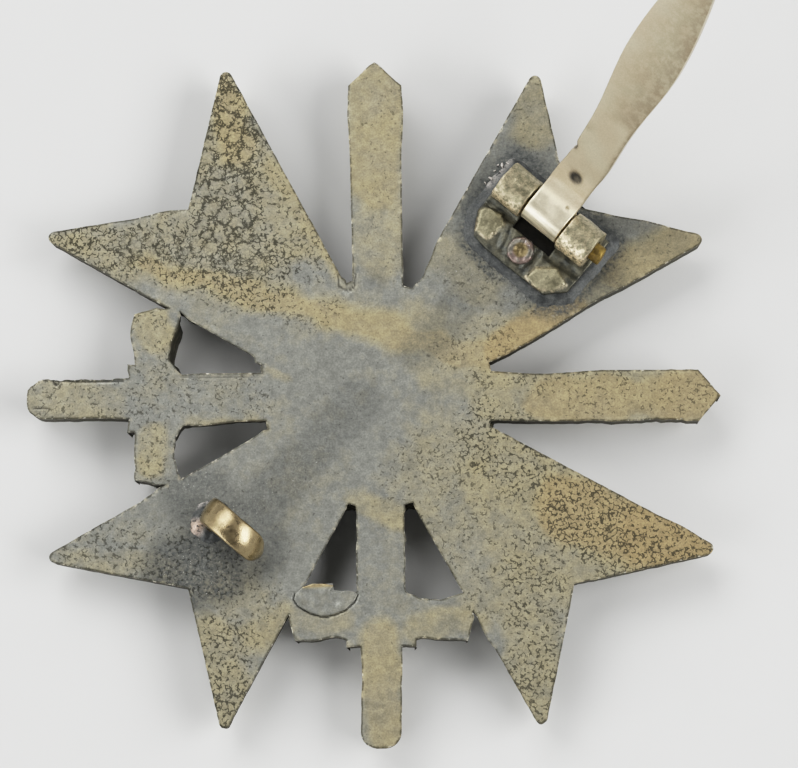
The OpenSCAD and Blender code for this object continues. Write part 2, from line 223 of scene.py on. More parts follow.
# Small corrections of the outline: around x, y, as far as a radius, by dx, dy.
NUDGES = (
    (-8.0, 2.2, 1.3, -0.75, 0.0),
    (-14.2, 2.8, 1.7, -0.5, 0.0),
    (-14.4, 5.9, 1.1, 0.0, 0.3),
    (-14.9, 4.4, 1.3, -0.22, 0.0),
    (-15.4, -6.6, 0.9, 0.0, 0.25),
    (-8.0, -2.1, 1.3, -0.28, 0.0),
    (-13.0, -2.1, 3.6, 0.0, -0.3),
    (-17.5, 4.6, 1.9, -0.3, 0.0),
    (-16.6, -6.3, 1.3, 0.0, 0.3),
    (-3.3, -16.9, 1.4, 0.0, 0.3),
    (2.9, -16.8, 1.2, 0.0, 0.2),
    (7.0, -17.2, 1.6, 0.0, -0.3),
    (-24.6, 1.3, 0.7, 0.12, -0.1),
    (-24.6, -1.5, 0.7, 0.12, 0.1),
    (-0.3, 24.0, 2.7, 0.0, 0.26),
    (-0.3, 24.3, 0.5, 0.0, -0.1),
    (-2.1, 20.3, 3.0, -0.1, 0.0),
    (1.8, 20.3, 3.2, 0.17, 0.0),
    (11.5, 1.8, 4.5, 0.0, -0.24),
    (20.0, -2.1, 3.6, 0.0, 0.12),
    (-0.1, -24.2, 2.8, -0.1, 0.08),
    (0.0, -19.2, 2.4, 0.11, 0.0),
    (-15.2, 13.6, 2.4, 0.0, 0.19),
    (19.2, 12.3, 2.4, 0.0, 0.12),
    (15.6, 6.0, 3.0, -0.06, 0.13),
    (21.0, -9.7, 2.2, 0.0, 0.13),
    (-11.2, -23.4, 1.4, 0.0, -0.18),
    (-2.1, 7.9, 1.0, 0.0, 0.5),
    (2.6, 8.4, 1.0, 0.25, 0.0),
    (3.4, 9.2, 2.2, 0.3, 0.0),
)
# Where finer cuts are needed for the seams: lowest x, y, highest x, y.
FINE_ZONES = (
    (-6.6, -16.1, -1.3, -13.2),
    (-3.3, 7.3, -1.4, 9.0),
    (-24.9, -1.0, -23.1, -0.3),
    (-23.5, 0.8, -17.9, 1.6),
    (-14.3, 1.1, -8.2, 1.8),
)


class CrossSettings(bpy.types.PropertyGroup):
    pitch: FloatProperty(
        name="Cut pitch", description="Spacing of the cuts that let the casting's faces bend",
        default=0.35 * MM, min=0.2 * MM, max=1 * MM, unit="LENGTH", subtype="DISTANCE", precision=5)
    edge_round: FloatProperty(
        name="Edge rounding", description="Rounding of the casting's worn edges",
        default=0.09 * MM, min=0.02 * MM, max=0.2 * MM, unit="LENGTH", subtype="DISTANCE", precision=5)
    waviness: FloatProperty(
        name="Waviness", description="How far the cast faces stray from flat",
        default=0.035 * MM, min=0, max=0.1 * MM, unit="LENGTH", subtype="DISTANCE", precision=5)
    zinc: FloatVectorProperty(
        name="Zinc", description="Colour of the bare dull zinc",
        default=(0.252, 0.256, 0.234), min=0, max=1, subtype="COLOR")
    khaki: FloatVectorProperty(
        name="Khaki", description="Colour of what is left of the old wash over the zinc",
        default=(0.37, 0.328, 0.203), min=0, max=1, subtype="COLOR")
    # Also the colour of the painted shade round the hinge plate.
    smoke_and_shade: FloatVectorProperty(
        name="Smoke", description="Colour of the stains that soldering left",
        default=(0.08, 0.086, 0.087), min=0, max=1, subtype="COLOR")
    ochre: FloatVectorProperty(
        name="Ochre", description="Colour of the wash where it is thickest, on the lower right tip",
        default=(0.37, 0.285, 0.15), min=0, max=1, subtype="COLOR")
    soot: FloatVectorProperty(
        name="Soot", description="Colour of the dark crackle and of the cracks",
        default=(0.024, 0.023, 0.016), min=0, max=1, subtype="COLOR")


class FittingSettings(bpy.types.PropertyGroup):
    sheet: FloatProperty(
        name="Knuckle sheet", description="Thickness of the sheet that is rolled into the knuckles",
        default=0.75 * MM, min=0.4 * MM, max=0.8 * MM, unit="LENGTH", subtype="DISTANCE", precision=5)
    knuckle_radius: FloatProperty(
        name="Knuckle radius", description="Outer radius of the two fixed knuckles",
        default=1.5 * MM, min=1.3 * MM, max=1.6 * MM, unit="LENGTH", subtype="DISTANCE", precision=5)
    brass: FloatVectorProperty(
        name="Brass", description="Colour of the clean brass",
        default=(0.37, 0.298, 0.18), min=0, max=1, subtype="COLOR")
    tarnish: FloatVectorProperty(
        name="Tarnish", description="Colour of the tarnished hinge plate",
        default=(0.2, 0.187, 0.125), min=0, max=1, subtype="COLOR")


class PinSettings(bpy.types.PropertyGroup):
    strip_length: FloatProperty(
        name="Strip length", description="Length of the strip from its bend to its point",
        default=33 * MM, min=32 * MM, max=35 * MM, unit="LENGTH", subtype="DISTANCE", precision=5)
    thickness: FloatProperty(
        name="Thickness", description="Thickness of the strip",
        default=0.6 * MM, min=0.5 * MM, max=0.6 * MM, unit="LENGTH", subtype="DISTANCE", precision=5)
    root_width: FloatProperty(
        name="Root width", description="Width of the strip where it wraps the axle",
        default=3.05 * MM, min=2.6 * MM, max=3.1 * MM, unit="LENGTH", subtype="DISTANCE", precision=5)
    belly_width: FloatProperty(
        name="Belly width", description="Width of the strip at its widest",
        default=4.2 * MM, min=3.4 * MM, max=4.5 * MM, unit="LENGTH", subtype="DISTANCE", precision=5)
    nickel: FloatVectorProperty(
        name="Nickel silver", description="Colour of the pin's metal",
        default=(0.54, 0.465, 0.345), min=0, max=1, subtype="COLOR")


class StudioSettings(bpy.types.PropertyGroup):
    distance: FloatProperty(
        name="Camera distance", description="Distance of the camera from the point it is aimed at",
        default=320.1 * MM, min=0.1, max=2, unit="LENGTH", subtype="DISTANCE")
    lens_pixels: FloatProperty(
        name="Lens in pixels", description="Focal length of the lens in pixels of a picture 798 pixels wide",
        default=4538.7, min=500, max=20000)
    window: FloatProperty(
        name="Softbox power", description="Power of the softbox behind on the left, in watts",
        default=2.1, min=0, max=50)
    sky: FloatProperty(
        name="Room light", description="Brightness of the light from the pale room",
        default=0.56, min=0, max=5)
    paper: FloatVectorProperty(
        name="Paper", description="Colour of the paper that the cross lies on",
        default=(0.73, 0.735, 0.735), min=0, max=1, subtype="COLOR")


def smooth(t):
    """Eases a value from 0 to 1, for single numbers and for arrays."""
    t = np.clip(t, 0.0, 1.0)
    return t * t * (3 - 2 * t)


def everything(bm):
    return bm.verts[:] + bm.edges[:] + bm.faces[:]


def slice_along(bm, axis, first, last, pitch, zone=None):
    """Cuts the mesh by a row of planes. A zone is the lowest and highest x, y of the faces that are cut."""
    normal = Vector((0, 0, 0))
    normal[axis] = 1
    for i in range(int((last - first) / pitch) + 1):
        if zone is None:
            geom = everything(bm)
        else:
            faces = [f for f in bm.faces if in_zone(f.calc_center_median(), zone)]
            geom = list({e for f in faces for e in f.edges}) + faces + list({v for f in faces for v in f.verts})
        bmesh.ops.bisect_plane(bm, geom=geom, dist=WELD, plane_co=normal * (first + i * pitch), plane_no=normal)


def in_zone(point, zone):
    return zone[0] < point.x < zone[2] and zone[1] < point.y < zone[3]


def round_edges(bm, width, segments=2, least=SHARP, keep=None):
    """Bevels the edges whose faces meet at more than the least angle."""
    edges = [e for e in bm.edges
             if e.is_manifold and e.calc_face_angle() > least and (keep is None or keep(e))]
    bmesh.ops.bevel(
        bm, geom=edges, offset=width, segments=segments, profile=0.5, affect="EDGES", material=-1,
        clamp_overlap=True)


def prism(bm, outline, low, high):
    """A straight-sided block over an outline of x, y points. Gives its verts."""
    corners = [bm.verts.new((x, y, low)) for x, y in outline]
    base = bm.faces.new(corners)
    made = bmesh.ops.extrude_face_region(bm, geom=[base])
    top = [g for g in made["geom"] if isinstance(g, bmesh.types.BMVert)]
    bmesh.ops.translate(bm, vec=(0, 0, high - low), verts=top)
    bmesh.ops.recalc_face_normals(bm, faces=list({f for v in corners + top for f in v.link_faces}))
    return corners + top


def roughen(bm, size, depth, seed=0.0, verts=None):
    """Moves verts along their normals by smooth noise of the given size."""
    bm.normal_update()
    shift = Vector((seed, seed * 1.7, -seed))
    moves = [(v, v.normal * depth * noise.noise(v.co / size + shift)) for v in (verts or bm.verts)]
    for v, move in moves:
        v.co += move


def finish_piece(bm, name, body, material, stands_for=(), place=None):
    """Puts a millimetre mesh in its place, in metres, as a piece that rides on a body."""
    if place is not None:
        bmesh.ops.transform(bm, matrix=place, verts=bm.verts)
    bmesh.ops.scale(bm, vec=(MM, MM, MM), verts=bm.verts)
    for v in bm.verts:
        v.co = [min(max(c, low), high) for c, low, high in zip(v.co, *CAD_BOX)]
    bm.normal_update()
    for face in bm.faces:
        face.smooth = True
    for edge in bm.edges:
        edge.smooth = edge.calc_face_angle(0.0) < SHARP
    mesh = bpy.data.meshes.new(name)
    bm.to_mesh(mesh)
    bm.free()
    mesh.materials.append(material)
    piece = bpy.data.objects.new(name, mesh)
    bpy.context.collection.objects.link(piece)
    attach(piece, body)
    if stands_for:
        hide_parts(*stands_for)
    return piece


def paint(bm, name, values):
    """Stores one number for each vert, which the finishes read by its name."""
    layer = bm.verts.layers.float.get(name) or bm.verts.layers.float.new(name)
    for v, value in zip(bm.verts, values):
        v[layer] = float(value)


def strokes(points, rows):
    """Strength of a table of soft strokes at each of the points."""
    strongest = np.zeros(len(points))
    for x1, y1, x2, y2, half, fade, strength in rows:
        away = distance_to_line(points, (x1, y1), (x2, y2))
        strongest = np.maximum(strongest, strength * smooth(1 - (away - half) / fade))
    return strongest


def inside_outline(points, outline):
    """How far inside an outline each point lies, and below 0 outside it."""
    away = np.full(len(points), 1e9)
    within = np.zeros(len(points), bool)
    for (x1, y1), (x2, y2) in zip(outline, outline[1:] + outline[:1]):
        away = np.minimum(away, distance_to_line(points, (x1, y1), (x2, y2)))
        crosses = (y1 > points[:, 1]) != (y2 > points[:, 1])
        at = x1 + (points[:, 1] - y1) * (x2 - x1) / ((y2 - y1) or 1e-9)
        within ^= crosses & (points[:, 0] < at)
    return np.where(within, away, -away)


def distance_to_line(points, start, end):
    start, end = np.array(start), np.array(end)
    along = end - start
    t = np.clip((points - start) @ along / (along @ along), 0, 1)
    return np.linalg.norm(points - start - t[:, None] * along, axis=1)


class Finish:
    """A material put together from textures on the object's own coordinates."""

    def __init__(self, name, metallic, roughness):
        self.material = bpy.data.materials.new(name)
        self.material.use_nodes = True
        self.nodes = self.material.node_tree.nodes
        self.links = self.material.node_tree.links
        self.shader = self.nodes["Principled BSDF"]
        self.feed(self.shader.inputs["Metallic"], metallic)
        self.feed(self.shader.inputs["Roughness"], roughness)
        self.place = self.nodes.new("ShaderNodeTexCoord").outputs["Object"]

    def feed(self, socket, value):
        if isinstance(value, bpy.types.NodeSocket):
            self.links.new(value, socket)
        elif isinstance(value, (tuple, list)) or hasattr(value, "__len__"):
            socket.default_value = (*value, 1.0) if len(value) == 3 and socket.type == "RGBA" else tuple(value)
        else:
            socket.default_value = value

    def attribute(self, name):
        node = self.nodes.new("ShaderNodeAttribute")
        node.attribute_name = name
        return node.outputs["Fac"]

    def noise(self, size, detail=2.0, roughness=0.5, place=None, colour=False):
        """Cloudy noise whose lumps are about as big as size, in millimetres."""
        node = self.nodes.new("ShaderNodeTexNoise")
        self.feed(node.inputs["Vector"], place or self.place)
        self.feed(node.inputs["Scale"], 1 / (size * MM))
        self.feed(node.inputs["Detail"], detail)
        self.feed(node.inputs["Roughness"], roughness)
        return node.outputs["Color" if colour else "Fac"]

    def cells(self, size, place=None):
        """Distance to the borders of cells of the given size."""
        node = self.nodes.new("ShaderNodeTexVoronoi")
        node.feature = "DISTANCE_TO_EDGE"
        self.feed(node.inputs["Vector"], place or self.place)
        self.feed(node.inputs["Scale"], 1 / (size * MM))
        return node.outputs["Distance"]

    def warp(self, size, reach):
        """The object's coordinates, stirred by noise as far as reach, in millimetres."""
        stir = self.nodes.new("ShaderNodeVectorMath")
        stir.operation = "MULTIPLY_ADD"
        self.feed(stir.inputs[0], self.noise(size, 2.0, colour=True))
        self.feed(stir.inputs[1], (reach * MM,) * 3)
        self.feed(stir.inputs[2], self.place)
        return stir.outputs["Vector"]

    def ramp(self, value, low, high, to_low=0.0, to_high=1.0):
        """Maps a value smoothly from low to high, and holds it at the ends."""
        node = self.nodes.new("ShaderNodeMapRange")
        node.interpolation_type = "SMOOTHSTEP"
        for socket, number in zip(node.inputs[:5], (value, low, high, to_low, to_high)):
            self.feed(socket, number)
        return node.outputs["Result"]

    def math(self, operation, first, second, clamp=False):
        node = self.nodes.new("ShaderNodeMath")
        node.operation = operation
        node.use_clamp = clamp
        self.feed(node.inputs[0], first)
        self.feed(node.inputs[1], second)
        return node.outputs["Value"]

    def mix(self, amount, first, second, blend="MIX"):
        node = self.nodes.new("ShaderNodeMix")
        node.data_type = "RGBA"
        node.blend_type = blend
        self.feed(node.inputs["Factor"], amount)
        self.feed(node.inputs[6], first)
        self.feed(node.inputs[7], second)
        return node.outputs[2]

    def bump(self, height, depth, strength=1.0):
        node = self.nodes.new("ShaderNodeBump")
        self.feed(node.inputs["Strength"], strength)
        self.feed(node.inputs["Distance"], depth * MM)
        self.feed(node.inputs["Height"], height)
        self.feed(self.shader.inputs["Normal"], node.outputs["Normal"])

    def grain(self, colour, size, amount):
        """Fine light and dark grain over a colour."""
        tone = self.ramp(self.noise(size, 3.0, 0.6), 0.3, 0.7, 1 - amount, 1 + amount)
        node = self.nodes.new("ShaderNodeVectorMath")
        node.operation = "MULTIPLY"
        self.feed(node.inputs[0], colour)
        self.feed(node.inputs[1], tone)
        return node.outputs["Vector"]


def zinc_finish():
    """Old zinc: dull grey, the khaki rest of a wash, smoke from soldering, and a dark crackle, with painted shade on
    the walls, along the edges and round the hinge plate, and painted highlights on the edges and in sparkles.
    """
    look = bpy.context.scene.cross_settings
    finish = Finish("old_zinc", 0.55, 0.45)
    cloud = finish.noise(4.0, 3.0)
    mottle = finish.noise(0.9, 4.0, 0.6)
    grain = finish.noise(0.14, 3.0, 0.6)
    khaki = finish.attribute("khaki")
    khaki = finish.math("ADD", khaki, finish.ramp(cloud, 0.3, 0.7, -0.12, 0.16))
    khaki = finish.math("ADD", khaki, finish.math("MULTIPLY", finish.attribute("crackle"), 0.16))
    khaki = finish.math("ADD", khaki, finish.ramp(mottle, 0.3, 0.7, -0.16, 0.16), clamp=True)
    colour = finish.mix(khaki, tuple(look.zinc), tuple(look.khaki))
    colour = finish.mix(finish.ramp(finish.attribute("khaki"), 0.6, 1.0, 0.0, 0.8), colour, tuple(look.ochre))
    colour = finish.grain(colour, 0.5, 0.12)
    # Solder stains, and painted shade round the hinge plate.
    smoke_and_shade = finish.math("ADD", finish.attribute("smoke_and_shade"), finish.ramp(mottle, 0.35, 0.65, -0.14, 0.14), clamp=True)
    speckle = finish.ramp(finish.noise(0.3, 3.0, 0.65), 0.34, 0.62, 0.62, 1.08)
    smoke_and_shade = finish.math("MULTIPLY", finish.math("MULTIPLY", smoke_and_shade, 0.88), speckle)
    colour = finish.mix(smoke_and_shade, colour, tuple(look.smoke_and_shade))
    near_rim = finish.attribute("rim")
    rim_breakup = finish.noise(0.5, 3.0, 0.6)
    # Pale khaki along the edges: partly worn wash, partly painted highlight.
    rim_wear_and_highlight = finish.math("MULTIPLY", finish.ramp(near_rim, 0.12, 0.38, 1.0, 0.0), finish.ramp(rim_breakup, 0.5, 0.66))
    colour = finish.mix(finish.math("MULTIPLY", rim_wear_and_highlight, 0.35), colour, (0.45, 0.40, 0.27))
    # Painted shade: a thin dark line along the rounded edges of the outline.
    rim_shade = finish.math("MULTIPLY", finish.ramp(near_rim, 0.06, 0.17, 1.0, 0.0), finish.ramp(rim_breakup, 0.68, 0.46))
    colour = finish.mix(finish.math("MULTIPLY", rim_shade, 0.75), colour, (0.045, 0.042, 0.028))
    colour = finish.grain(colour, 0.13, 0.16)
    crackle = crackle_mask(finish)
    crackle = finish.math("MULTIPLY", crackle, finish.ramp(finish.attribute("crackle"), 0.2, 0.75, 0.45, 0.84))
    colour = finish.mix(crackle, colour, tuple(look.soot))
    # Painted shade: the walls, and the smear's sides, are darkened almost to black.
    shaded_wall = finish.math("MULTIPLY", finish.attribute("shaded_wall"), finish.ramp(mottle, 0.2, 0.75, 0.98, 0.75))
    colour = finish.mix(shaded_wall, colour, (0.038, 0.036, 0.025))
    # Pale flecks of the metal near the solder.
    fleck_and_glint_amount = finish.attribute("glint")
    fleck = finish.math("MULTIPLY", finish.ramp(finish.noise(0.26, 3.0, 0.65), 0.58, 0.68, 0.0, 0.6), fleck_and_glint_amount)
    colour = finish.mix(fleck, colour, (0.38, 0.37, 0.33))
    # Painted highlights: bright white sparkles among the flecks, with lower roughness.
    glint = finish.math("MULTIPLY", finish.ramp(finish.noise(0.16, 2.0, 0.6), 0.68, 0.76), fleck_and_glint_amount)
    colour = finish.mix(glint, colour, (0.9, 0.9, 0.86))
    # Painted highlights: pale sparkles on burrs along the rims, kept off the walls.
    burr_glint = finish.math("MULTIPLY", finish.ramp(near_rim, 0.02, 0.13, 1.0, 0.0),
                       finish.ramp(finish.noise(0.28, 2.0, 0.6), 0.6, 0.66))
    burr_glint = finish.math("MULTIPLY", burr_glint, finish.ramp(finish.attribute("shaded_wall"), 0.0, 0.4, 0.7, 0.0))
    colour = finish.mix(burr_glint, colour, (0.66, 0.64, 0.54))
    seam_and_shade = finish.attribute("seam_and_shade")
    colour = finish.mix(seam_and_shade, colour, (0.012, 0.012, 0.01))
    finish.feed(finish.shader.inputs["Base Color"], colour)
    roughness = finish.ramp(mottle, 0.3, 0.7, 0.38, 0.52)
    roughness = finish.math("ADD", roughness, finish.math("MULTIPLY", crackle, 0.3))
    roughness = finish.math("ADD", roughness, finish.math("MULTIPLY", shaded_wall, 0.3))
    roughness = finish.math("SUBTRACT", roughness, finish.math("MULTIPLY", glint, 0.2), clamp=True)
    finish.feed(finish.shader.inputs["Roughness"], roughness)
    height = finish.math("MULTIPLY", grain, 0.5)
    height = finish.math("ADD", height, finish.math("MULTIPLY", mottle, 0.8))
    height = finish.math("SUBTRACT", height, finish.math("MULTIPLY", crackle, 0.6))
    finish.bump(height, 0.02, 0.8)
    return finish.material


def crackle_mask(finish):
    """Short dark dashes, and where the crackle is thickest clumps of dark worms round clear patches."""
    density = finish.attribute("crackle")
    spread = finish.noise(1.6, 3.0, 0.6)
    amount = finish.math("ADD", density, finish.ramp(spread, 0.3, 0.7, -0.2, 0.2), clamp=True)
    clumped = finish.ramp(density, 0.76, 0.92)
    patches = finish.cells(0.95, finish.warp(0.6, 0.7))
    line = finish.ramp(finish.cells(0.38, finish.warp(0.32, 0.42)), 0.05, 0.16, 1.0, 0.0)
    gate = finish.math("SUBTRACT", finish.noise(0.3, 1.0), finish.ramp(amount, 0.0, 1.0, 0.68, 0.4))
    dashes = finish.math("MULTIPLY", line, finish.ramp(gate, 0.0, 0.05))
    cleared = finish.math("MULTIPLY", clumped, finish.ramp(patches, 0.12, 0.26, 0.0, 0.85))
    dashes = finish.math("MULTIPLY", dashes, finish.math("SUBTRACT", 1.0, cleared))
    worms = finish.ramp(finish.cells(0.3, finish.warp(0.3, 0.3)), 0.06, 0.18, 1.0, 0.0)
    dots = finish.ramp(finish.noise(0.22, 1.0, 0.6), 0.57, 0.63)
    border = finish.math("MULTIPLY", finish.ramp(patches, 0.07, 0.2, 1.0, 0.0),
                         finish.ramp(finish.noise(0.7, 2.0), 0.38, 0.5))
    clumps = finish.math("MULTIPLY", finish.math("MAXIMUM", worms, dots), border)
    clumps = finish.math("MULTIPLY", clumps, clumped)
    fine = finish.ramp(finish.noise(0.16, 2.0, 0.6), 0.56, 0.7, 0.0, 0.4)
    faint = finish.math("MULTIPLY", fine, finish.ramp(amount, 0.1, 0.6))
    return finish.math("MAXIMUM", finish.math("MAXIMUM", dashes, clumps), faint)


def metal_finish(name, colour, dark, metallic, roughness, spots, grain_size=0.15):
    """Plain metal with tarnish in its hollows, brown spots and fine scratches."""
    finish = Finish(name, metallic, roughness)
    mottle = finish.noise(0.8, 4.0, 0.6)
    tarnish = finish.ramp(mottle, 0.62 - spots * 0.3, 0.78 - spots * 0.3)
    shown = finish.mix(finish.math("MULTIPLY", tarnish, min(1.0, 0.35 + spots)), colour, dark)
    shown = finish.grain(shown, grain_size, 0.12)
    finish.feed(finish.shader.inputs["Base Color"], shown)
    finish.feed(finish.shader.inputs["Roughness"], finish.ramp(mottle, 0.3, 0.75, roughness - 0.06, roughness + 0.14))
    finish.bump(finish.math("ADD", finish.noise(grain_size, 3.0, 0.6), mottle), 0.012, 0.7)
    return finish.material


def tarnished_brass_finish():
    """The hinge plate: olive, worn to bright brass on its edges with painted highlight on the knuckles' fronts, and
    grey with solder and painted shade in its corners and low parts.
    """
    look = bpy.context.scene.fitting_settings
    finish = Finish("tarnished_brass", 0.7, 0.42)
    mottle = finish.noise(0.7, 4.0, 0.6)
    colour = finish.mix(finish.ramp(mottle, 0.33, 0.67), tuple(look.tarnish), (0.3, 0.278, 0.19))
    # Dark solder stain, and painted shade in the plate's low parts and at the knuckles' feet.
    smoke_and_shade = finish.math("MULTIPLY", finish.attribute("smoke_and_shade"), finish.ramp(mottle, 0.25, 0.6, 1.0, 0.7))
    colour = finish.mix(smoke_and_shade, colour, (0.06, 0.064, 0.06))
    wear_and_sheen = finish.math("MULTIPLY", finish.attribute("wear_and_sheen"), finish.ramp(finish.noise(0.3, 3.0, 0.6), 0.38, 0.6))
    # Bright brass: wear, and painted highlight on the knuckles' fronts.
    colour = finish.mix(wear_and_sheen, colour, (0.88, 0.74, 0.52))
    colour = finish.grain(colour, 0.12, 0.2)
    finish.feed(finish.shader.inputs["Base Color"], colour)
    roughness = finish.math("SUBTRACT", finish.ramp(mottle, 0.3, 0.7, 0.36, 0.5), finish.math("MULTIPLY", wear_and_sheen, 0.12))
    finish.feed(finish.shader.inputs["Roughness"], roughness)
    finish.bump(finish.math("ADD", finish.noise(0.16, 3.0, 0.6), mottle), 0.02, 0.8)
    return finish.material


def solder_finish():
    """Dark grey solder with bright beads where it stayed clean, and painted black as shade in the hinge's slot."""
    finish = Finish("old_solder", 0.5, 0.5)
    mottle = finish.noise(0.6, 4.0, 0.6)
    colour = finish.mix(finish.ramp(mottle, 0.38, 0.66), (0.056, 0.06, 0.061), (0.105, 0.109, 0.106))
    bright = finish.math("MULTIPLY", finish.attribute("glint"), finish.ramp(finish.noise(0.35, 3.0, 0.6), 0.36, 0.5))
    clean = finish.mix(finish.attribute("blush"), (0.66, 0.62, 0.58), (0.6, 0.47, 0.39))
    colour = finish.mix(bright, colour, clean)
    # Painted shade: the floor of the hinge's slot turns black.
    colour = finish.mix(finish.attribute("seam_and_shade"), colour, (0.006, 0.006, 0.005))
    finish.feed(finish.shader.inputs["Base Color"], finish.grain(colour, 0.12, 0.25))
    finish.feed(finish.shader.inputs["Roughness"], finish.ramp(mottle, 0.3, 0.7, 0.4, 0.6))
    finish.bump(finish.math("ADD", finish.noise(0.18, 3.0, 0.6), mottle), 0.02, 0.8)
    return finish.material


def nickel_silver_finish():
    """The pin: warm pale metal with brown stains, brown painted shade along its right edge, a painted sheen where it
    wraps the axle, and a dark pit.
    """
    look = bpy.context.scene.pin_settings
    finish = Finish("nickel_silver", 0.85, 0.34)
    cloud = finish.noise(3.0, 3.0)
    mottle = finish.noise(0.6, 4.0, 0.6)
    colour = finish.mix(finish.ramp(cloud, 0.35, 0.65), tuple(look.nickel), (0.57, 0.515, 0.39))
    polish_and_sheen = finish.attribute("polish_and_sheen")
    # The wrap is paler and less metallic: partly polish, partly painted sheen.
    colour = finish.mix(polish_and_sheen, colour, (0.9, 0.82, 0.62))
    finish.feed(finish.shader.inputs["Metallic"], finish.ramp(polish_and_sheen, 0.0, 1.0, 0.85, 0.74))
    # Brown stains, and brown painted shade along the strip's right edge.
    stain_and_shade = finish.math("MULTIPLY", finish.attribute("stain_and_shade"), finish.ramp(mottle, 0.35, 0.6, 0.4, 1.0))
    colour = finish.mix(stain_and_shade, colour, (0.16, 0.12, 0.06))
    colour = finish.mix(finish.attribute("seam_and_shade"), colour, (0.03, 0.03, 0.03))
    finish.feed(finish.shader.inputs["Base Color"], finish.grain(colour, 0.12, 0.06))
    roughness = finish.ramp(mottle, 0.3, 0.7, 0.28, 0.4)
    dull = finish.math("MULTIPLY", finish.attribute("bend"), 0.28)
    finish.feed(finish.shader.inputs["Roughness"], finish.math("ADD", roughness, dull))
    finish.bump(finish.math("ADD", finish.noise(0.12, 3.0, 0.6), mottle), 0.006, 0.5)
    return finish.material


def paper_finish():
    """Matt white paper with faint clouds."""
    look = bpy.context.scene.studio_settings
    finish = Finish("white_paper", 0.0, 0.85)
    faint = finish.ramp(finish.noise(14.0, 4.0, 0.6), 0.35, 0.7, 0.0, 0.5)
    shade = tuple(c * 0.965 for c in look.paper)
    finish.feed(finish.shader.inputs["Base Color"], finish.mix(faint, tuple(look.paper), shade))
    finish.bump(finish.noise(2.5, 4.0, 0.6), 0.05, 0.5)
    return finish.material


def casting_blank():
    """The cross node's own casting: all that stands on its back is cut off and the back is closed."""
    bm = bmesh.new()
    bm.from_mesh(frame["nodes"]["cross"].data)
    bmesh.ops.scale(bm, vec=(1 / MM,) * 3, verts=bm.verts)
    bmesh.ops.remove_doubles(bm, verts=bm.verts, dist=WELD)
    skin = 0.05
    cut = BACK - skin
    bmesh.ops.bisect_plane(
        bm, geom=everything(bm), dist=WELD, plane_co=(0, 0, cut), plane_no=(0, 0, 1), clear_outer=True)
    rim = [e for e in bm.edges if e.is_boundary]
    bmesh.ops.triangle_fill(bm, use_beauty=True, edges=rim)
    bmesh.ops.translate(bm, vec=(0, 0, skin), verts=[v for v in bm.verts if abs(v.co.z - cut) < WELD])
    bmesh.ops.recalc_face_normals(bm, faces=bm.faces)
    bmesh.ops.dissolve_limit(bm, angle_limit=math.radians(0.5), verts=bm.verts, edges=bm.edges)
    return bm


def wall_strays(bm, settings):
    """Moves the outline's walls in and out a little, and more where they are ragged."""
    bm.normal_update()
    level = [v for v in bm.verts if FRONT_FACE + 0.7 < v.co.z < BACK - 0.3 and abs(v.normal.z) < 0.3]
    tree = kdtree.KDTree(len(level))
    outward, strays = [], []
    for i, v in enumerate(level):
        flat = Vector((v.co.x, v.co.y, 0))
        tree.insert(flat, i)
        reach = 0.03
        for zone in RAGGED:
            if in_zone(flat, zone):
                reach = zone[4]
        wave = noise.noise(flat / 0.55) + 0.6 * noise.noise(flat / 0.22 + Vector((9, 4, 2)))
        outward.append(Vector((v.normal.x, v.normal.y, 0)).normalized())
        strays.append(outward[-1] * reach * (wave - 0.35))
    tree.balance()
    near = 0.7
    rims = []
    for v in bm.verts:
        flat = Vector((v.co.x, v.co.y, 0))
        _, i, away = tree.find(flat)
        rims.append(away)
        if away < near:
            down = max(0.0, min(1.0, (BACK - v.co.z) / (BACK - FRONT_FACE)))
            lean = DRAFT
            for zone in LEANS:
                inward = min(flat.x - zone[0], zone[2] - flat.x, flat.y - zone[1], zone[3] - flat.y)
                lean += (zone[4] - lean) * float(smooth(inward / 0.5))
            fade = (1 - away / near) ** 2 * (1 + 2 * away / near)
            v.co += (strays[i] + outward[i] * lean * down) * fade
    return rims


def nudge_outline(bm):
    for x, y, radius, dx, dy in NUDGES:
        for v in bm.verts:
            away = math.hypot(v.co.x - x, v.co.y - y)
            if away < radius:
                pull = float(smooth(1 - away / radius))
                v.co.x += dx * pull
                v.co.y += dy * pull


def cut_seams(bm, points):
    """Presses the cracks into the back and says how sooty each vert is."""
    soot = np.zeros(len(points))
    sink = np.zeros(len(points))
    for line, half, depth, strength in SEAMS:
        away = np.min([distance_to_line(points, a, b) for a, b in zip(line, line[1:])], axis=0)
        groove = smooth(1.25 - away / (2 * half))
        sink = np.maximum(sink, depth * groove)
        soot = np.maximum(soot, strength * smooth(1.4 - away / (1.6 * half)))
    for v, down in zip(bm.verts, sink):
        if v.co.z > BACK - 0.02:
            v.co.z -= down
    return soot


def stirred_points(bm):
    """Plan position of each vert, strayed a little so that no stain has a ruled border."""
    stray = 0.7
    size = 2.2
    rows = []
    for v in bm.verts:
        turn = noise.noise_vector(Vector((v.co.x, v.co.y, 0)) / size)
        rows.append((v.co.x + stray * turn.x, v.co.y + stray * turn.y))
    return np.array(rows)


def hinge_plan(points):
    """Plan positions as the hinge plate sees them."""
    along, across = math.cos(AXLE_TURN), math.sin(AXLE_TURN)
    x, y = points[:, 0] - HINGE.x, points[:, 1] - HINGE.y
    return np.stack((x * along + y * across, y * along - x * across), axis=1)


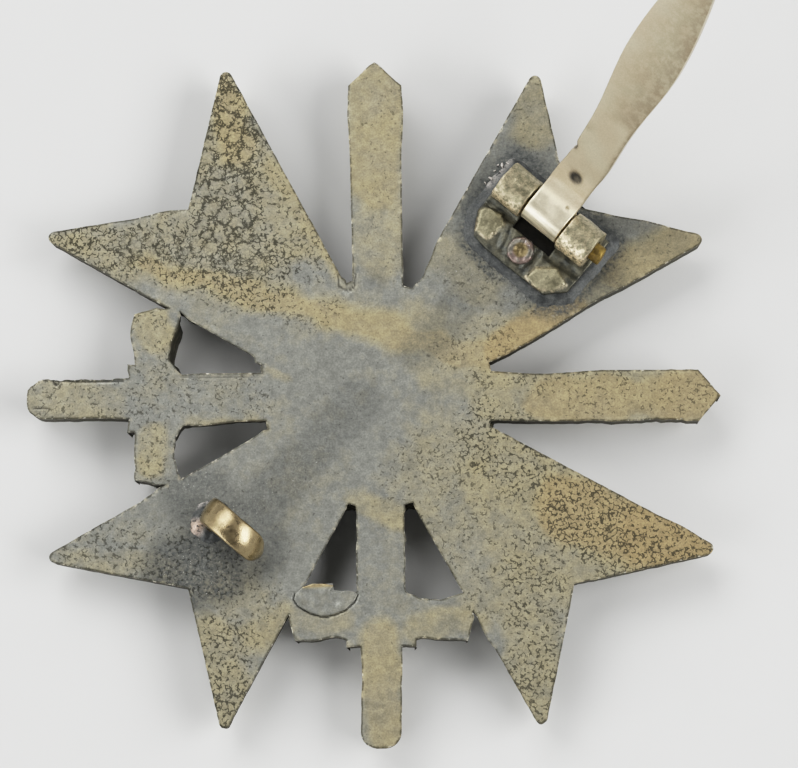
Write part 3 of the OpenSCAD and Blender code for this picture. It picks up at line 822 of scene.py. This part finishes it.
def build_casting():
    settings = bpy.context.scene.cross_settings
    pitch = settings.pitch / MM
    bm = casting_blank()
    round_edges(bm, settings.edge_round / MM)
    low, high = (Vector(c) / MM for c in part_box("cross"))
    for axis in (0, 1):
        slice_along(bm, axis, low[axis] + pitch, high[axis], pitch)
    slice_along(bm, 2, FRONT_FACE + 0.85, BACK - 0.4, 0.45)
    fine = 0.11
    for zone in FINE_ZONES:
        for axis in (0, 1):
            slice_along(bm, axis, zone[axis], zone[axis + 2], fine, zone)
    rims = wall_strays(bm, settings)
    nudge_outline(bm)
    bm.normal_update()
    # Walls are marked so that the finish can paint shade on them.
    shaded_walls = [1.0 if v.co.z < BACK - 0.15 and abs(v.normal.z) < 0.5 else 0.0 for v in bm.verts]
    plan = np.array([(v.co.x, v.co.y) for v in bm.verts])
    soot = cut_seams(bm, plan)
    waves = [noise.noise(v.co / 2.6) + 0.35 * noise.noise(v.co / 0.9) for v in bm.verts]
    for v, wave in zip(bm.verts, waves):
        if v.co.z > BACK - 0.2:
            v.co.z += settings.waviness / MM * (wave - 0.6)
    stained = stirred_points(bm)
    paint(bm, "khaki", strokes(stained, KHAKI))
    # The smoke strokes, and a dark ring round the hinge plate: solder stain with painted shade next to the plate.
    halo = inside_outline(hinge_plan(stained), HINGE_PLATE[:7] + HINGE_PLATE[-1:])
    paint(bm, "smoke_and_shade", np.maximum(strokes(stained, SMOKE), 1.1 * smooth(1 + (halo + 0.7) / 1.4)))
    paint(bm, "crackle", strokes(stained, CRACKLE))
    paint(bm, "glint", strokes(stained, GLINTS))
    paint(bm, "rim", rims)
    paint(bm, "shaded_wall", shaded_walls)
    paint(bm, "seam_and_shade", soot)
    finish_piece(bm, "casting", "cross", zinc_finish(), ("cross",))


def build_smear():
    """The smear that covers the end of one hole, left over from trimming the casting."""
    bm = bmesh.new()
    prism(bm, SMEAR, -0.16, 0.06)
    round_edges(bm, 0.05)
    for axis, low, high in ((0, -6.1, -1.6), (1, -15.6, -13.3)):
        slice_along(bm, axis, low, high, 0.13)
    roughen(bm, 0.6, 0.06, 2.0)
    plan = np.array([(v.co.x, v.co.y) for v in bm.verts])
    upper = np.array([(-5.4, -13.5), (-3.4, -13.4)])
    paint(bm, "khaki", 0.1 + 0.9 * smooth(1 - distance_to_line(plan, *upper) / 0.35))
    for name, value in (("smoke_and_shade", 0.12), ("crackle", 0.0), ("glint", 0.0), ("rim", 3.0), ("seam_and_shade", 0.0)):
        paint(bm, name, [value] * len(bm.verts))
    # The smear's sides get painted shade like the casting's walls.
    paint(bm, "shaded_wall", [1.0 if v.co.z < -0.05 else 0.0 for v in bm.verts])
    material = bpy.data.materials["old_zinc"]
    finish_piece(bm, "casting_smear", "cross", material, ("cross",), Matrix.Translation((0, 0, BACK)))


HINGE_PLATE = ((-4.35, -2.6), (-3.4, -4.2), (-2.2, -4.4), (1.3, -4.45), (3.1, -4.4), (4.3, -3.2), (4.35, 1.5), (1.675, 1.5),
               (1.675, -2.0), (-1.675, -2.0), (-1.675, 1.5), (-4.35, 1.5))
# Outlines of the plate's two raised wings, and soft strokes for the grooves round the rivet and the knuckles.
WINGS = (
    ((-4.4, -2.5), (-3.6, -3.95), (-2.4, -3.95), (-2.05, -2.2), (-2.7, -1.65), (-4.0, -1.9)),
    ((1.25, -4.3), (2.5, -4.55), (3.6, -3.9), (4.1, -2.8), (2.65, -2.2), (1.4, -3.2)),
)
GROOVES = (
    (-4.4, -1.75, -1.8, -1.6, 0.12, 0.3, 1.0),
    (1.6, -2.05, 4.3, -1.8, 0.12, 0.3, 1.0),
    (-1.75, -2.2, -1.3, -3.6, 0.1, 0.4, 0.8),
    (0.95, -2.3, 0.85, -3.7, 0.1, 0.4, 0.8),
)


def build_hinge_plate():
    top = 0.5
    bm = bmesh.new()
    prism(bm, HINGE_PLATE, -0.05, top)
    round_edges(bm, 0.09)
    for axis in (0, 1):
        slice_along(bm, axis, -4.4, 4.4, 0.14)
    plan = np.array([(v.co.x, v.co.y) for v in bm.verts])
    inside = np.maximum(*[inside_outline(plan, wing) for wing in WINGS])
    raised, sunk = smooth(inside / 0.22), strokes(plan, GROOVES)
    for v, up, down in zip(bm.verts, raised, sunk):
        if v.co.z > top - 0.15:
            v.co.z += 0.2 * up - 0.2 * down * (1 - up)
    roughen(bm, 0.9, 0.05, 3.0)
    roughen(bm, 0.3, 0.03, 5.0)
    bm.normal_update()
    edge = smooth(1 - abs(inside - 0.1) / 0.16)
    front = 0.3 + 0.7 * smooth((-2.4 - plan[:, 1]) / 1.2)
    paint(bm, "wear_and_sheen", edge * front * 0.45)
    # Darker off the wings, in the grooves and on the low sides: a solder stain round the rivet, with painted shade in
    # the grooves and on the sides.
    low = np.array([float(smooth((0.35 - v.co.z) / 0.2)) for v in bm.verts])
    paint(bm, "smoke_and_shade", np.clip(0.95 * sunk * (1 - raised) + low + 0.92 * (1 - raised), 0, 1))
    finish_piece(bm, "hinge_plate", "cross", tarnished_brass_finish(), ("cross",), AT_HINGE)


def build_knuckles():
    settings = bpy.context.scene.fitting_settings
    outer = settings.knuckle_radius / MM
    inner = outer - settings.sheet / MM
    material = bpy.data.materials.get("tarnished_brass") or tarnished_brass_finish()
    for name, side in (("knuckle_left", -1), ("knuckle_right", 1)):
        bm = bmesh.new()
        start = math.radians(-80)
        sweep = math.radians(305)
        near, far = sorted((side * KNUCKLE_IN, side * KNUCKLE_OUT))
        ring = [(near, inner), (far, inner), (far, outer), (near, outer)]
        section = [bm.verts.new((x, r * math.cos(start), AXLE_HEIGHT + r * math.sin(start))) for x, r in ring]
        face = bm.faces.new(section)
        bmesh.ops.spin(
            bm, geom=[*face.verts, *face.edges, face], cent=(0, 0, AXLE_HEIGHT), axis=(1, 0, 0), angle=sweep, steps=36)
        bmesh.ops.recalc_face_normals(bm, faces=bm.faces)
        round_edges(bm, 0.11, 2, math.radians(50))
        prism(bm, ((near + 0.06, -1.15), (far - 0.06, -1.15), (far - 0.06, 1.15), (near + 0.06, 1.15)), 0.0, 1.25)
        slice_along(bm, 0, near + 0.15, far - 0.1, 0.24)
        roughen(bm, 0.8, 0.07, 2.0 + side)
        roughen(bm, 0.28, 0.03, 6.0 + side)
        paint(bm, "wear_and_sheen", [knuckle_wear_and_sheen(v, side) for v in bm.verts])
        # Painted shade: darker towards the plate, at the foot of each knuckle.
        paint(bm, "smoke_and_shade", [float(smooth((1.3 - v.co.z) / 0.8)) for v in bm.verts])
        finish_piece(bm, name, "cross", material, ("cross",), AT_HINGE)


def knuckle_wear_and_sheen(v, side):
    """The rolled end in front is painted bright, and so are the outer corners: partly wear, partly painted highlight.
    """
    turn = math.degrees(math.atan2(v.co.z - AXLE_HEIGHT, v.co.y))
    front = float(smooth((turn - (100 if side > 0 else 118)) / 45)) if turn > 0 else float(smooth((-turn - 150) / 10))
    rim = float(smooth(1 - (abs(abs(v.co.x) - (KNUCKLE_IN if side > 0 else KNUCKLE_OUT)) / 0.3)))
    return min(1.0, 0.22 + 0.78 * front + 0.35 * rim)


# Beads of solder that stayed bright, most of them beside the left knuckle: x, y, radius.
BEADS = (
    (-5.15, -0.2, 0.09), (-5.1, 1.05, 0.1), (-4.98, 0.55, 0.06), (-5.3, 0.4, 0.05), (-4.95, 1.4, 0.06),
    (-5.2, -0.7, 0.06), (-5.35, 0.85, 0.05),
)


def build_solder():
    """A low dark fillet round the hinge plate, the floor of its slot, and what runs round the catch's foot."""
    material = solder_finish()
    bm = bmesh.new()
    reach = 0.95
    prism(bm, ((-5.35, -3.0), (-4.2, -5.2), (3.4, -5.45), (5.35, -3.8), (5.35, 2.4), (-5.35, 2.4)), -0.3, 0.0)
    for axis in (0, 1):
        slice_along(bm, axis, -5.4, 5.4, 0.17)
    plan = np.array([(v.co.x, v.co.y) for v in bm.verts])
    outer = HINGE_PLATE[:7] + HINGE_PLATE[-1:]
    inside = inside_outline(plan, outer)
    # Where the slot is, whose floor is sunk and painted black as shade.
    slot_shade = smooth((1.75 - abs(plan[:, 0])) / 0.1) * smooth((plan[:, 1] + 2.1) / 0.1)
    for v, depth, black in zip(bm.verts, inside, slot_shade):
        if v.co.z > -0.1:
            stray = 0.16 * noise.noise(v.co / 1.4)
            v.co.z += (0.3 + 0.1 * stray) * float(smooth(1 + depth / reach + stray)) - 0.07 - 0.2 * black
    roughen(bm, 0.9, 0.025, 4.0)
    roughen(bm, 0.3, 0.02, 8.0)
    left = np.array([float(smooth((-4.5 - v.co.x) / 0.4)) * float(smooth((v.co.y + 1.2) / 0.6)) for v in bm.verts])
    paint(bm, "glint", 0.3 * left)
    paint(bm, "seam_and_shade", slot_shade)
    finish_piece(bm, "hinge_solder", "cross", material, ("cross",), AT_HINGE)
    halo = bmesh.new()
    for i, (x, y, size) in enumerate(BEADS):
        made = bmesh.ops.create_icosphere(halo, subdivisions=3, radius=size)
        bmesh.ops.scale(halo, vec=(2.0, 0.8, 0.6), verts=made["verts"])
        bmesh.ops.rotate(halo, cent=(0, 0, 0), matrix=Matrix.Rotation(i * 2.4, 3, "Z"), verts=made["verts"])
        bmesh.ops.translate(halo, vec=(x, y, 0.05), verts=made["verts"])
    roughen(halo, 0.15, 0.06, 1.0)
    paint(halo, "glint", [1.0] * len(halo.verts))
    paint(halo, "seam_and_shade", [0.0] * len(halo.verts))
    finish_piece(halo, "hinge_solder_beads", "cross", material, ("cross",), AT_HINGE)
    foot = bmesh.new()
    bmesh.ops.create_cone(
        foot, cap_ends=True, cap_tris=False, segments=28, radius1=1.7, radius2=0.95, depth=0.45)
    bmesh.ops.translate(foot, vec=(-1.85, 0, 0.08), verts=foot.verts)
    round_edges(foot, 0.12, 2)
    for axis in (0, 1):
        slice_along(foot, axis, -3.8, 1.8, 0.15)
    roughen(foot, 0.7, 0.12, 2.0)
    roughen(foot, 0.3, 0.06, 7.0)
    lump = np.array([math.hypot(v.co.x + 2.55, v.co.y + 0.95) for v in foot.verts])
    for v, away in zip(foot.verts, lump):
        if v.co.z > 0:
            v.co.z += 0.18 * float(smooth(1 - away / 0.6))
    # Painted highlight: a pale rim round the foot, stronger on one side.
    rim = np.array([float(smooth((abs(v.co.x + 1.85) + 0.6 * v.co.y - 1.3) / 0.4)) for v in foot.verts])
    paint(foot, "glint", np.maximum(smooth(1.25 - lump / 0.7), 0.5 * rim))
    paint(foot, "blush", smooth(1.3 - lump / 0.8))
    paint(foot, "seam_and_shade", [0.0] * len(foot.verts))
    finish_piece(foot, "catch_solder", "cross", material, ("cross",), AT_CATCH)


def build_catch():
    """A broad wire, crowned on its outside, bent into a hook that is open on one side."""
    look = bpy.context.scene.fitting_settings
    radius, thick, width, height = 2.6, 0.9, 2.0, 1.2
    crown = 0.17
    free, foot = math.radians(-5), math.radians(235)
    profile = ((-0.5, -thick), (0.5, -thick), (0.5, -crown), (0.25, -crown / 4), (0.0, 0.0), (-0.25, -crown / 4), (-0.5, -crown))
    bm = bmesh.new()
    corners = [bm.verts.new((radius + r, y * width, height)) for y, r in profile]
    face = bm.faces.new(corners)
    bmesh.ops.rotate(bm, cent=(0, 0, height), matrix=Matrix.Rotation(-free, 3, "Y"), verts=bm.verts)
    bmesh.ops.spin(
        bm, geom=[*face.verts, *face.edges, face], cent=(0, 0, height), axis=(0, -1, 0), angle=foot - free, steps=48)
    bmesh.ops.recalc_face_normals(bm, faces=bm.faces)
    round_edges(bm, 0.2, 4, math.radians(42))
    for v in bm.verts:
        turn = math.atan2(v.co.z - height, v.co.x)
        if -0.3 < turn < 0.75:
            v.co.y *= 1 - 0.55 * float(smooth((0.75 - turn) / 0.9)) ** 1.6
        v.co.y -= (v.co.x - 0.25) * (0.17 if v.co.x < 0.25 else 0.09)
    roughen(bm, 1.3, 0.03, 3.0)
    finish = metal_finish("catch_brass", tuple(look.brass), (0.2, 0.155, 0.075), 1.0, 0.27, 0.1)
    finish_piece(bm, "catch_hook", "cross", finish, ("cross",), AT_CATCH)


def build_rivet():
    """A worn rivet: a low ring of clean metal round a dull flat middle."""
    at = Vector((-0.1, -3.0, 0.62))
    bm = bmesh.new()
    made = bmesh.ops.create_uvsphere(bm, u_segments=40, v_segments=24, radius=1.0)
    bmesh.ops.scale(bm, vec=(1, 1, 0.52), verts=made["verts"])
    middle = []
    for v in bm.verts:
        r = math.hypot(v.co.x, v.co.y)
        if v.co.z > 0:
            v.co.z = min(v.co.z, 0.24) - 0.09 * float(smooth((0.45 - r) / 0.2)) + 0.05
        else:
            v.co.z *= 0.4
        middle.append(float(smooth((0.6 - r) / 0.14)))
    bmesh.ops.translate(bm, vec=at, verts=bm.verts)
    roughen(bm, 0.35, 0.08, 4.0)
    roughen(bm, 0.15, 0.012, 2.0)
    paint(bm, "middle", middle)
    finish = Finish("rivet_metal", 0.7, 0.4)
    mottle = finish.noise(0.4, 3.0, 0.6)
    ring = finish.mix(finish.ramp(finish.noise(0.9, 2.0), 0.42, 0.56), (0.24, 0.185, 0.168), (0.18, 0.17, 0.146))
    # Painted highlights: pale specks on the ring.
    ring = finish.mix(finish.ramp(finish.noise(0.25, 2.0), 0.63, 0.7), ring, (0.5, 0.46, 0.45))
    colour = finish.mix(finish.attribute("middle"), ring, (0.17, 0.135, 0.07))
    finish.feed(finish.shader.inputs["Base Color"], finish.grain(colour, 0.12, 0.2))
    finish.bump(finish.math("ADD", finish.noise(0.16, 3.0, 0.6), mottle), 0.02, 0.8)
    finish_piece(bm, "rivet_head", "cross", finish.material, ("hinge_rivet",), AT_HINGE)


def build_axle():
    """The axle, cut off a little askew past the outer knuckle."""
    end = 4.9
    bm = bmesh.new()
    bmesh.ops.create_cone(
        bm, cap_ends=True, cap_tris=False, segments=40, radius1=AXLE_RADIUS, radius2=AXLE_RADIUS, depth=2 * end - 0.9)
    bmesh.ops.rotate(bm, cent=(0, 0, 0), matrix=Matrix.Rotation(math.pi / 2, 3, "Y"), verts=bm.verts)
    bmesh.ops.translate(bm, vec=(0.45, 0, AXLE_HEIGHT), verts=bm.verts)
    round_edges(bm, 0.1, 2)
    slice_along(bm, 0, 3.9, 4.8, 0.15)
    roughen(bm, 0.4, 0.03, 3.0)
    for v in bm.verts:
        if v.co.x > 4.5:
            v.co.x -= 0.08 * (v.co.y / AXLE_RADIUS + 1)
    finish = metal_finish("axle_brass", (0.31, 0.22, 0.065), (0.14, 0.1, 0.035), 0.7, 0.45, 0.5)
    finish_piece(bm, "axle_rod", "cross", finish, ("hinge_axle",), AT_HINGE)


ROOT = 1.5
BEND = 0.9
OPEN = math.radians(52)
BOW = 280.0
PIN_SHIFT = 0.3
NEEDLE_HALF = 0.35
# Dark lines along the bend, parallel to the axle: distance in front of the axle, and how dark they are.
BEND_LINES = ((-1.2, 0.6), (-0.92, 0.35), (-0.55, 0.2))
# Stains on the strip: distance from its bend, place across it, reach and strength.
PIN_STAINS = ((5.5, -0.95, 0.35, 0.35), (8.6, -0.95, 0.35, 0.35), (16.0, -1.35, 0.5, 0.5), (-0.5, 0.85, 0.17, 0.95))


def ease_between(low, high, s, start, end):
    return low + (high - low) * float(smooth((s - start) / (end - start)))


def strip_half_width(s, root, belly, length):
    """Half the strip's width at a distance from its bend: even, then a belly, then a long point."""
    even_to, belly_at, needle_from = 6.0, 14.0, 27.0
    if s < even_to:
        return root / 2
    if s < belly_at:
        return ease_between(root / 2, belly / 2, s, even_to, belly_at)
    if s < needle_from:
        run = (s - belly_at) / (needle_from - belly_at)
        return NEEDLE_HALF + (belly / 2 - NEEDLE_HALF) * (1 - run ** 1.8)
    return ease_between(NEEDLE_HALF, 0.15, s, needle_from, length)


def build_pin():
    settings = bpy.context.scene.pin_settings
    thick, root = settings.thickness / MM, settings.root_width / MM
    belly, length = settings.belly_width / MM, settings.strip_length / MM
    eye = AXLE_RADIUS + 0.05
    bm = bmesh.new()
    corners = ((-root / 2, eye), (root / 2, eye), (root / 2, eye + thick), (-root / 2, eye + thick))
    last = [bm.verts.new((x, 0, AXLE_HEIGHT + r)) for x, r in corners]
    face = bm.faces.new(last)
    curl = math.radians(298)
    axle = (0, 0, AXLE_HEIGHT)
    bmesh.ops.rotate(bm, cent=axle, matrix=Matrix.Rotation(curl, 3, "X"), verts=bm.verts)
    last = spin_on(bm, [face], axle, -curl, 44)
    made = bmesh.ops.extrude_face_region(bm, geom=last)
    last = [g for g in made["geom"] if isinstance(g, bmesh.types.BMFace)]
    bmesh.ops.translate(bm, vec=(0, ROOT, 0), verts=last[0].verts)
    bend_at = Vector((0, ROOT, AXLE_HEIGHT + eye + thick + BEND))
    last = spin_on(bm, last, bend_at, OPEN, 10)
    uphill = Vector((0, -math.sin(OPEN), math.cos(OPEN)))
    bow_at = bend_at + uphill * (BOW - BEND - thick / 2)
    steps = int(length)
    widths = [strip_half_width(length * i / steps, root, belly, length) for i in range(steps + 1)]
    for i in range(steps):
        s = length * (i + 1) / steps
        last = spin_on(bm, last, bow_at, length / BOW / steps, 1)
        verts = last[0].verts
        middle = sum((v.co for v in verts), Vector()) / len(verts)
        shift = PIN_SHIFT * float(smooth(s / 3)) - middle.x
        thin = ease_between(1.0, 0.55, s, 26, length) / ease_between(1.0, 0.55, s - length / steps, 26, length)
        for v in verts:
            v.co = middle + (v.co - middle) * thin
            v.co.x = middle.x + (v.co.x - middle.x) / thin * widths[i + 1] / widths[i] + shift
    bmesh.ops.delete(bm, geom=[f for f in bm.faces if len(f.verts) < 3], context="FACES")
    bmesh.ops.recalc_face_normals(bm, faces=bm.faces)
    round_edges(bm, 0.1, 3, math.radians(50))
    finish_pin(bm, bend_at, bow_at)


def spin_on(bm, faces, centre, angle, steps):
    """Spins the last faces further about an axis along the axle. Gives the faces it ends on."""
    geom = list({v for f in faces for v in f.verts}) + list({e for f in faces for e in f.edges}) + list(faces)
    made = bmesh.ops.spin(bm, geom=geom, cent=centre, axis=(1, 0, 0), angle=angle, steps=steps)
    return [g for g in made["geom_last"] if isinstance(g, bmesh.types.BMFace)]


def finish_pin(bm, bend_at, bow_at):
    """Finer cuts near the hinge, the pit, the nick, the stains, the painted shade along the right edge and the painted
    sheen on the wrap.
    """
    near = (-3, -0.4, 3, 6.5)
    slice_along(bm, 0, -1.45, 2.4, 0.15, near)
    slice_along(bm, 1, 0.12, 5.6, 0.11, near)
    bm.normal_update()
    along = []
    for v in bm.verts:
        arm = v.co - bow_at
        s = BOW * (math.atan2(arm.y, -arm.z) - OPEN)
        flat = v.co.y < bend_at.y
        along.append(min(v.co.y - ROOT, -0.01) - (5 if v.co.z < AXLE_HEIGHT else 0) if flat else max(s, 0))
    pit_at, nick_at = (1.0, 0.1), (3.35, -1.25)
    stains_and_shade, seams = [], []
    for v, s in zip(bm.verts, along):
        pit = math.hypot((s - pit_at[0]) / 0.6, (v.co.x - pit_at[1]) / 0.62)
        nick = math.hypot((s - nick_at[0]) / 0.42, (v.co.x - nick_at[1]) / 0.34)
        up = 1.0 if v.normal.y < 0.1 and v.normal.z > 0.2 else 0.0
        dent = up * float(smooth(1.6 * (1.15 - pit)))
        bite = float(smooth(1.2 - nick))
        clear = float(smooth((0.75 - math.hypot((s - 0.9) / 0.42, (v.co.x - 0.22) / 0.36)) / 0.4))
        bend_line = max(
            up * float(smooth(1.2 - abs(v.co.y - at - 0.05 * v.co.x) / 0.1)) * depth for at, depth in BEND_LINES)
        seams.append(max(dent * (0.96 - 0.16 * clear), 0.8 * bite, bend_line))
        # Painted shade along the strip's right edge, where it rounds away.
        right = PIN_SHIFT + strip_half_width(max(s, 0), 3.05, 4.2, 33.0) - v.co.x
        stain_and_shade = 0.5 * float(smooth(1 - right / 0.4)) * float(smooth((s - 0.5) / 3))
        for at, x, reach, strength in PIN_STAINS:
            stain_and_shade = max(stain_and_shade, strength * float(smooth(1.3 - math.hypot(s - at, v.co.x - x) / reach)))
        stains_and_shade.append(stain_and_shade * up)
        v.co -= v.normal * 0.05 * dent
        v.co.x += 0.18 * bite
    paint(bm, "stain_and_shade", stains_and_shade)
    paint(bm, "seam_and_shade", seams)
    # Paler where it wraps the axle: polish and painted sheen.
    paint(bm, "polish_and_sheen", [float(smooth(-s / 0.6)) for s in along])
    paint(bm, "bend", [float(smooth(1.5 - abs(s - 0.3) / 0.9)) for s in along])
    roughen(bm, 1.6, 0.01, 2.0)
    finish_piece(bm, "pin_strip", "pin", nickel_silver_finish(), ("pin",), AT_HINGE)


CAMERA_AZIMUTH = math.radians(-8)
CAMERA_ELEVATION = math.radians(80)
CAMERA_ROLL = math.radians(-8.53)
AIM = Vector((1.36, 0.81, 3.9)) * MM
SENSOR = 36.0
PICTURE_WIDTH = 798


def camera_axes():
    """Right, up and back directions of the camera."""
    flat = math.cos(CAMERA_ELEVATION)
    look = Vector((math.sin(CAMERA_AZIMUTH) * flat, math.cos(CAMERA_AZIMUTH) * flat, -math.sin(CAMERA_ELEVATION)))
    right = Vector((math.cos(CAMERA_AZIMUTH), -math.sin(CAMERA_AZIMUTH), 0))
    up = right.cross(look)
    turned_right = math.cos(CAMERA_ROLL) * right + math.sin(CAMERA_ROLL) * up
    turned_up = -math.sin(CAMERA_ROLL) * right + math.cos(CAMERA_ROLL) * up
    return turned_right, turned_up, -look


def build_studio():
    settings = bpy.context.scene.studio_settings
    right, up, back = camera_axes()
    data = bpy.data.cameras.new("camera")
    data.sensor_width = SENSOR
    data.lens = settings.lens_pixels * SENSOR / PICTURE_WIDTH
    data.clip_start, data.clip_end = 0.01, 20
    camera = bpy.data.objects.new("camera", data)
    turn = Matrix((right, up, back)).transposed().to_4x4()
    camera.matrix_world = Matrix.Translation(AIM + back * settings.distance) @ turn
    bpy.context.collection.objects.link(camera)
    bpy.context.scene.camera = camera
    bm = bmesh.new()
    bmesh.ops.create_grid(bm, x_segments=8, y_segments=8, size=1.5)
    mesh = bpy.data.meshes.new("paper")
    bm.to_mesh(mesh)
    bm.free()
    mesh.materials.append(paper_finish())
    paper = bpy.data.objects.new("paper", mesh)
    bpy.context.collection.objects.link(paper)
    softbox("softbox_back_left", -35, 52, (0.55, 0.36), settings.window * 1.08)
    softbox("softbox_right", 100, 44, (0.52, 0.36), settings.window * 1.38)
    softbox("softbox_left", -112, 30, (0.60, 0.46), settings.window)
    room_light(settings.sky)
    tone_curve(bpy.context.scene.view_settings)


def softbox(name, azimuth, elevation, size, power):
    """A rectangular soft light aimed at the cross. The azimuth runs from +Y towards +X."""
    away = 0.65
    turn, lift = math.radians(azimuth), math.radians(elevation)
    place = Vector((math.sin(turn) * math.cos(lift), math.cos(turn) * math.cos(lift), math.sin(lift))) * away
    data = bpy.data.lights.new(name, "AREA")
    data.shape = "RECTANGLE"
    data.size, data.size_y = size
    data.energy = power
    data.color = (1.0, 0.995, 0.98)
    light = bpy.data.objects.new(name, data)
    light.location = place
    light.rotation_mode = "QUATERNION"
    light.rotation_quaternion = place.to_track_quat("Z", "Y")
    bpy.context.collection.objects.link(light)


def tone_curve(view):
    """A film-like curve: deeper shadows and a soft shoulder, so that the paper stays just under white."""
    view.view_transform = "Standard"
    view.use_curve_mapping = True
    brightest = 3.0
    view.curve_mapping.white_level = (brightest,) * 3
    curve = view.curve_mapping.curves[3]
    for bright, shown in ((0.03, 0.021), (0.1, 0.087), (0.25, 0.255), (0.45, 0.47), (0.7, 0.65), (1.03, 0.80), (1.8, 0.93)):
        curve.points.new(bright / brightest, shown)
    view.curve_mapping.update()


def room_light(strength):
    """A room that is pale near the horizon and dark overhead."""
    world = bpy.data.worlds.new("room")
    bpy.context.scene.world = world
    world.use_nodes = True
    nodes, links = world.node_tree.nodes, world.node_tree.links
    background = nodes["Background"]
    height = nodes.new("ShaderNodeSeparateXYZ")
    links.new(nodes.new("ShaderNodeTexCoord").outputs["Generated"], height.inputs[0])
    shade = nodes.new("ShaderNodeMapRange")
    shade.interpolation_type = "SMOOTHSTEP"
    links.new(height.outputs["Z"], shade.inputs["Value"])
    shade.inputs["From Min"].default_value = 0.5
    shade.inputs["From Max"].default_value = 0.94
    shade.inputs["To Min"].default_value = strength
    shade.inputs["To Max"].default_value = strength * 0.1
    background.inputs["Color"].default_value = (1.0, 1.0, 0.99, 1)
    links.new(shade.outputs["Result"], background.inputs["Strength"])


class OBJECT_OT_cross_studio(bpy.types.Operator):
    """Set up the camera, the paper and the lights"""
    bl_idname = "object.cross_studio"
    bl_label = "Studio"

    def execute(self, context):
        build_studio()
        return {"FINISHED"}


class OBJECT_OT_cross_casting(bpy.types.Operator):
    """Make the tarnished zinc casting"""
    bl_idname = "object.cross_casting"
    bl_label = "Casting"

    def execute(self, context):
        build_casting()
        return {"FINISHED"}


class OBJECT_OT_cross_smear(bpy.types.Operator):
    """Make the smear of metal over one hole's end"""
    bl_idname = "object.cross_smear"
    bl_label = "Smear"

    def execute(self, context):
        build_smear()
        return {"FINISHED"}


class OBJECT_OT_cross_hinge_plate(bpy.types.Operator):
    """Make the hinge plate with its two wings"""
    bl_idname = "object.cross_hinge_plate"
    bl_label = "Hinge plate"

    def execute(self, context):
        build_hinge_plate()
        return {"FINISHED"}


class OBJECT_OT_cross_knuckles(bpy.types.Operator):
    """Make the two rolled knuckles"""
    bl_idname = "object.cross_knuckles"
    bl_label = "Knuckles"

    def execute(self, context):
        build_knuckles()
        return {"FINISHED"}


class OBJECT_OT_cross_solder(bpy.types.Operator):
    """Make the solder at the hinge and the catch"""
    bl_idname = "object.cross_solder"
    bl_label = "Solder"

    def execute(self, context):
        build_solder()
        return {"FINISHED"}


class OBJECT_OT_cross_catch(bpy.types.Operator):
    """Make the half-round catch"""
    bl_idname = "object.cross_catch"
    bl_label = "Catch"

    def execute(self, context):
        build_catch()
        return {"FINISHED"}


class OBJECT_OT_cross_rivet(bpy.types.Operator):
    """Make the rivet's head"""
    bl_idname = "object.cross_rivet"
    bl_label = "Rivet"

    def execute(self, context):
        build_rivet()
        return {"FINISHED"}


class OBJECT_OT_cross_axle(bpy.types.Operator):
    """Make the hinge's axle"""
    bl_idname = "object.cross_axle"
    bl_label = "Axle"

    def execute(self, context):
        build_axle()
        return {"FINISHED"}


class OBJECT_OT_cross_pin(bpy.types.Operator):
    """Make the pin"""
    bl_idname = "object.cross_pin"
    bl_label = "Pin"

    def execute(self, context):
        build_pin()
        return {"FINISHED"}


OPERATORS = (
    OBJECT_OT_cross_studio,
    OBJECT_OT_cross_casting,
    OBJECT_OT_cross_smear,
    OBJECT_OT_cross_hinge_plate,
    OBJECT_OT_cross_knuckles,
    OBJECT_OT_cross_solder,
    OBJECT_OT_cross_catch,
    OBJECT_OT_cross_rivet,
    OBJECT_OT_cross_axle,
    OBJECT_OT_cross_pin,
)
SETTINGS = (
    ("cross_settings", CrossSettings),
    ("fitting_settings", FittingSettings),
    ("pin_settings", PinSettings),
    ("studio_settings", StudioSettings),
)


class VIEW3D_PT_merit_cross(bpy.types.Panel):
    """Sizes, colours and buttons for the merit cross."""
    bl_label = "Merit Cross"
    bl_space_type = "VIEW_3D"
    bl_region_type = "UI"
    bl_category = "Merit Cross"

    def draw(self, context):
        for name, group in SETTINGS:
            box = self.layout.box()
            for key in group.__annotations__:
                box.prop(getattr(context.scene, name), key)
        for operator in OPERATORS:
            self.layout.operator(operator.bl_idname)


def register():
    for name, group in SETTINGS:
        bpy.utils.register_class(group)
        setattr(bpy.types.Scene, name, PointerProperty(type=group))
    for operator in OPERATORS:
        bpy.utils.register_class(operator)
    bpy.utils.register_class(VIEW3D_PT_merit_cross)


def unregister():
    bpy.utils.unregister_class(VIEW3D_PT_merit_cross)
    for operator in reversed(OPERATORS):
        bpy.utils.unregister_class(operator)
    for name, group in reversed(SETTINGS):
        delattr(bpy.types.Scene, name)
        bpy.utils.unregister_class(group)


def main():
    register()
    for operator in OPERATORS:
        kind, name = operator.bl_idname.split(".")
        getattr(getattr(bpy.ops, kind), name)()


if __name__ == "__main__":
    main()
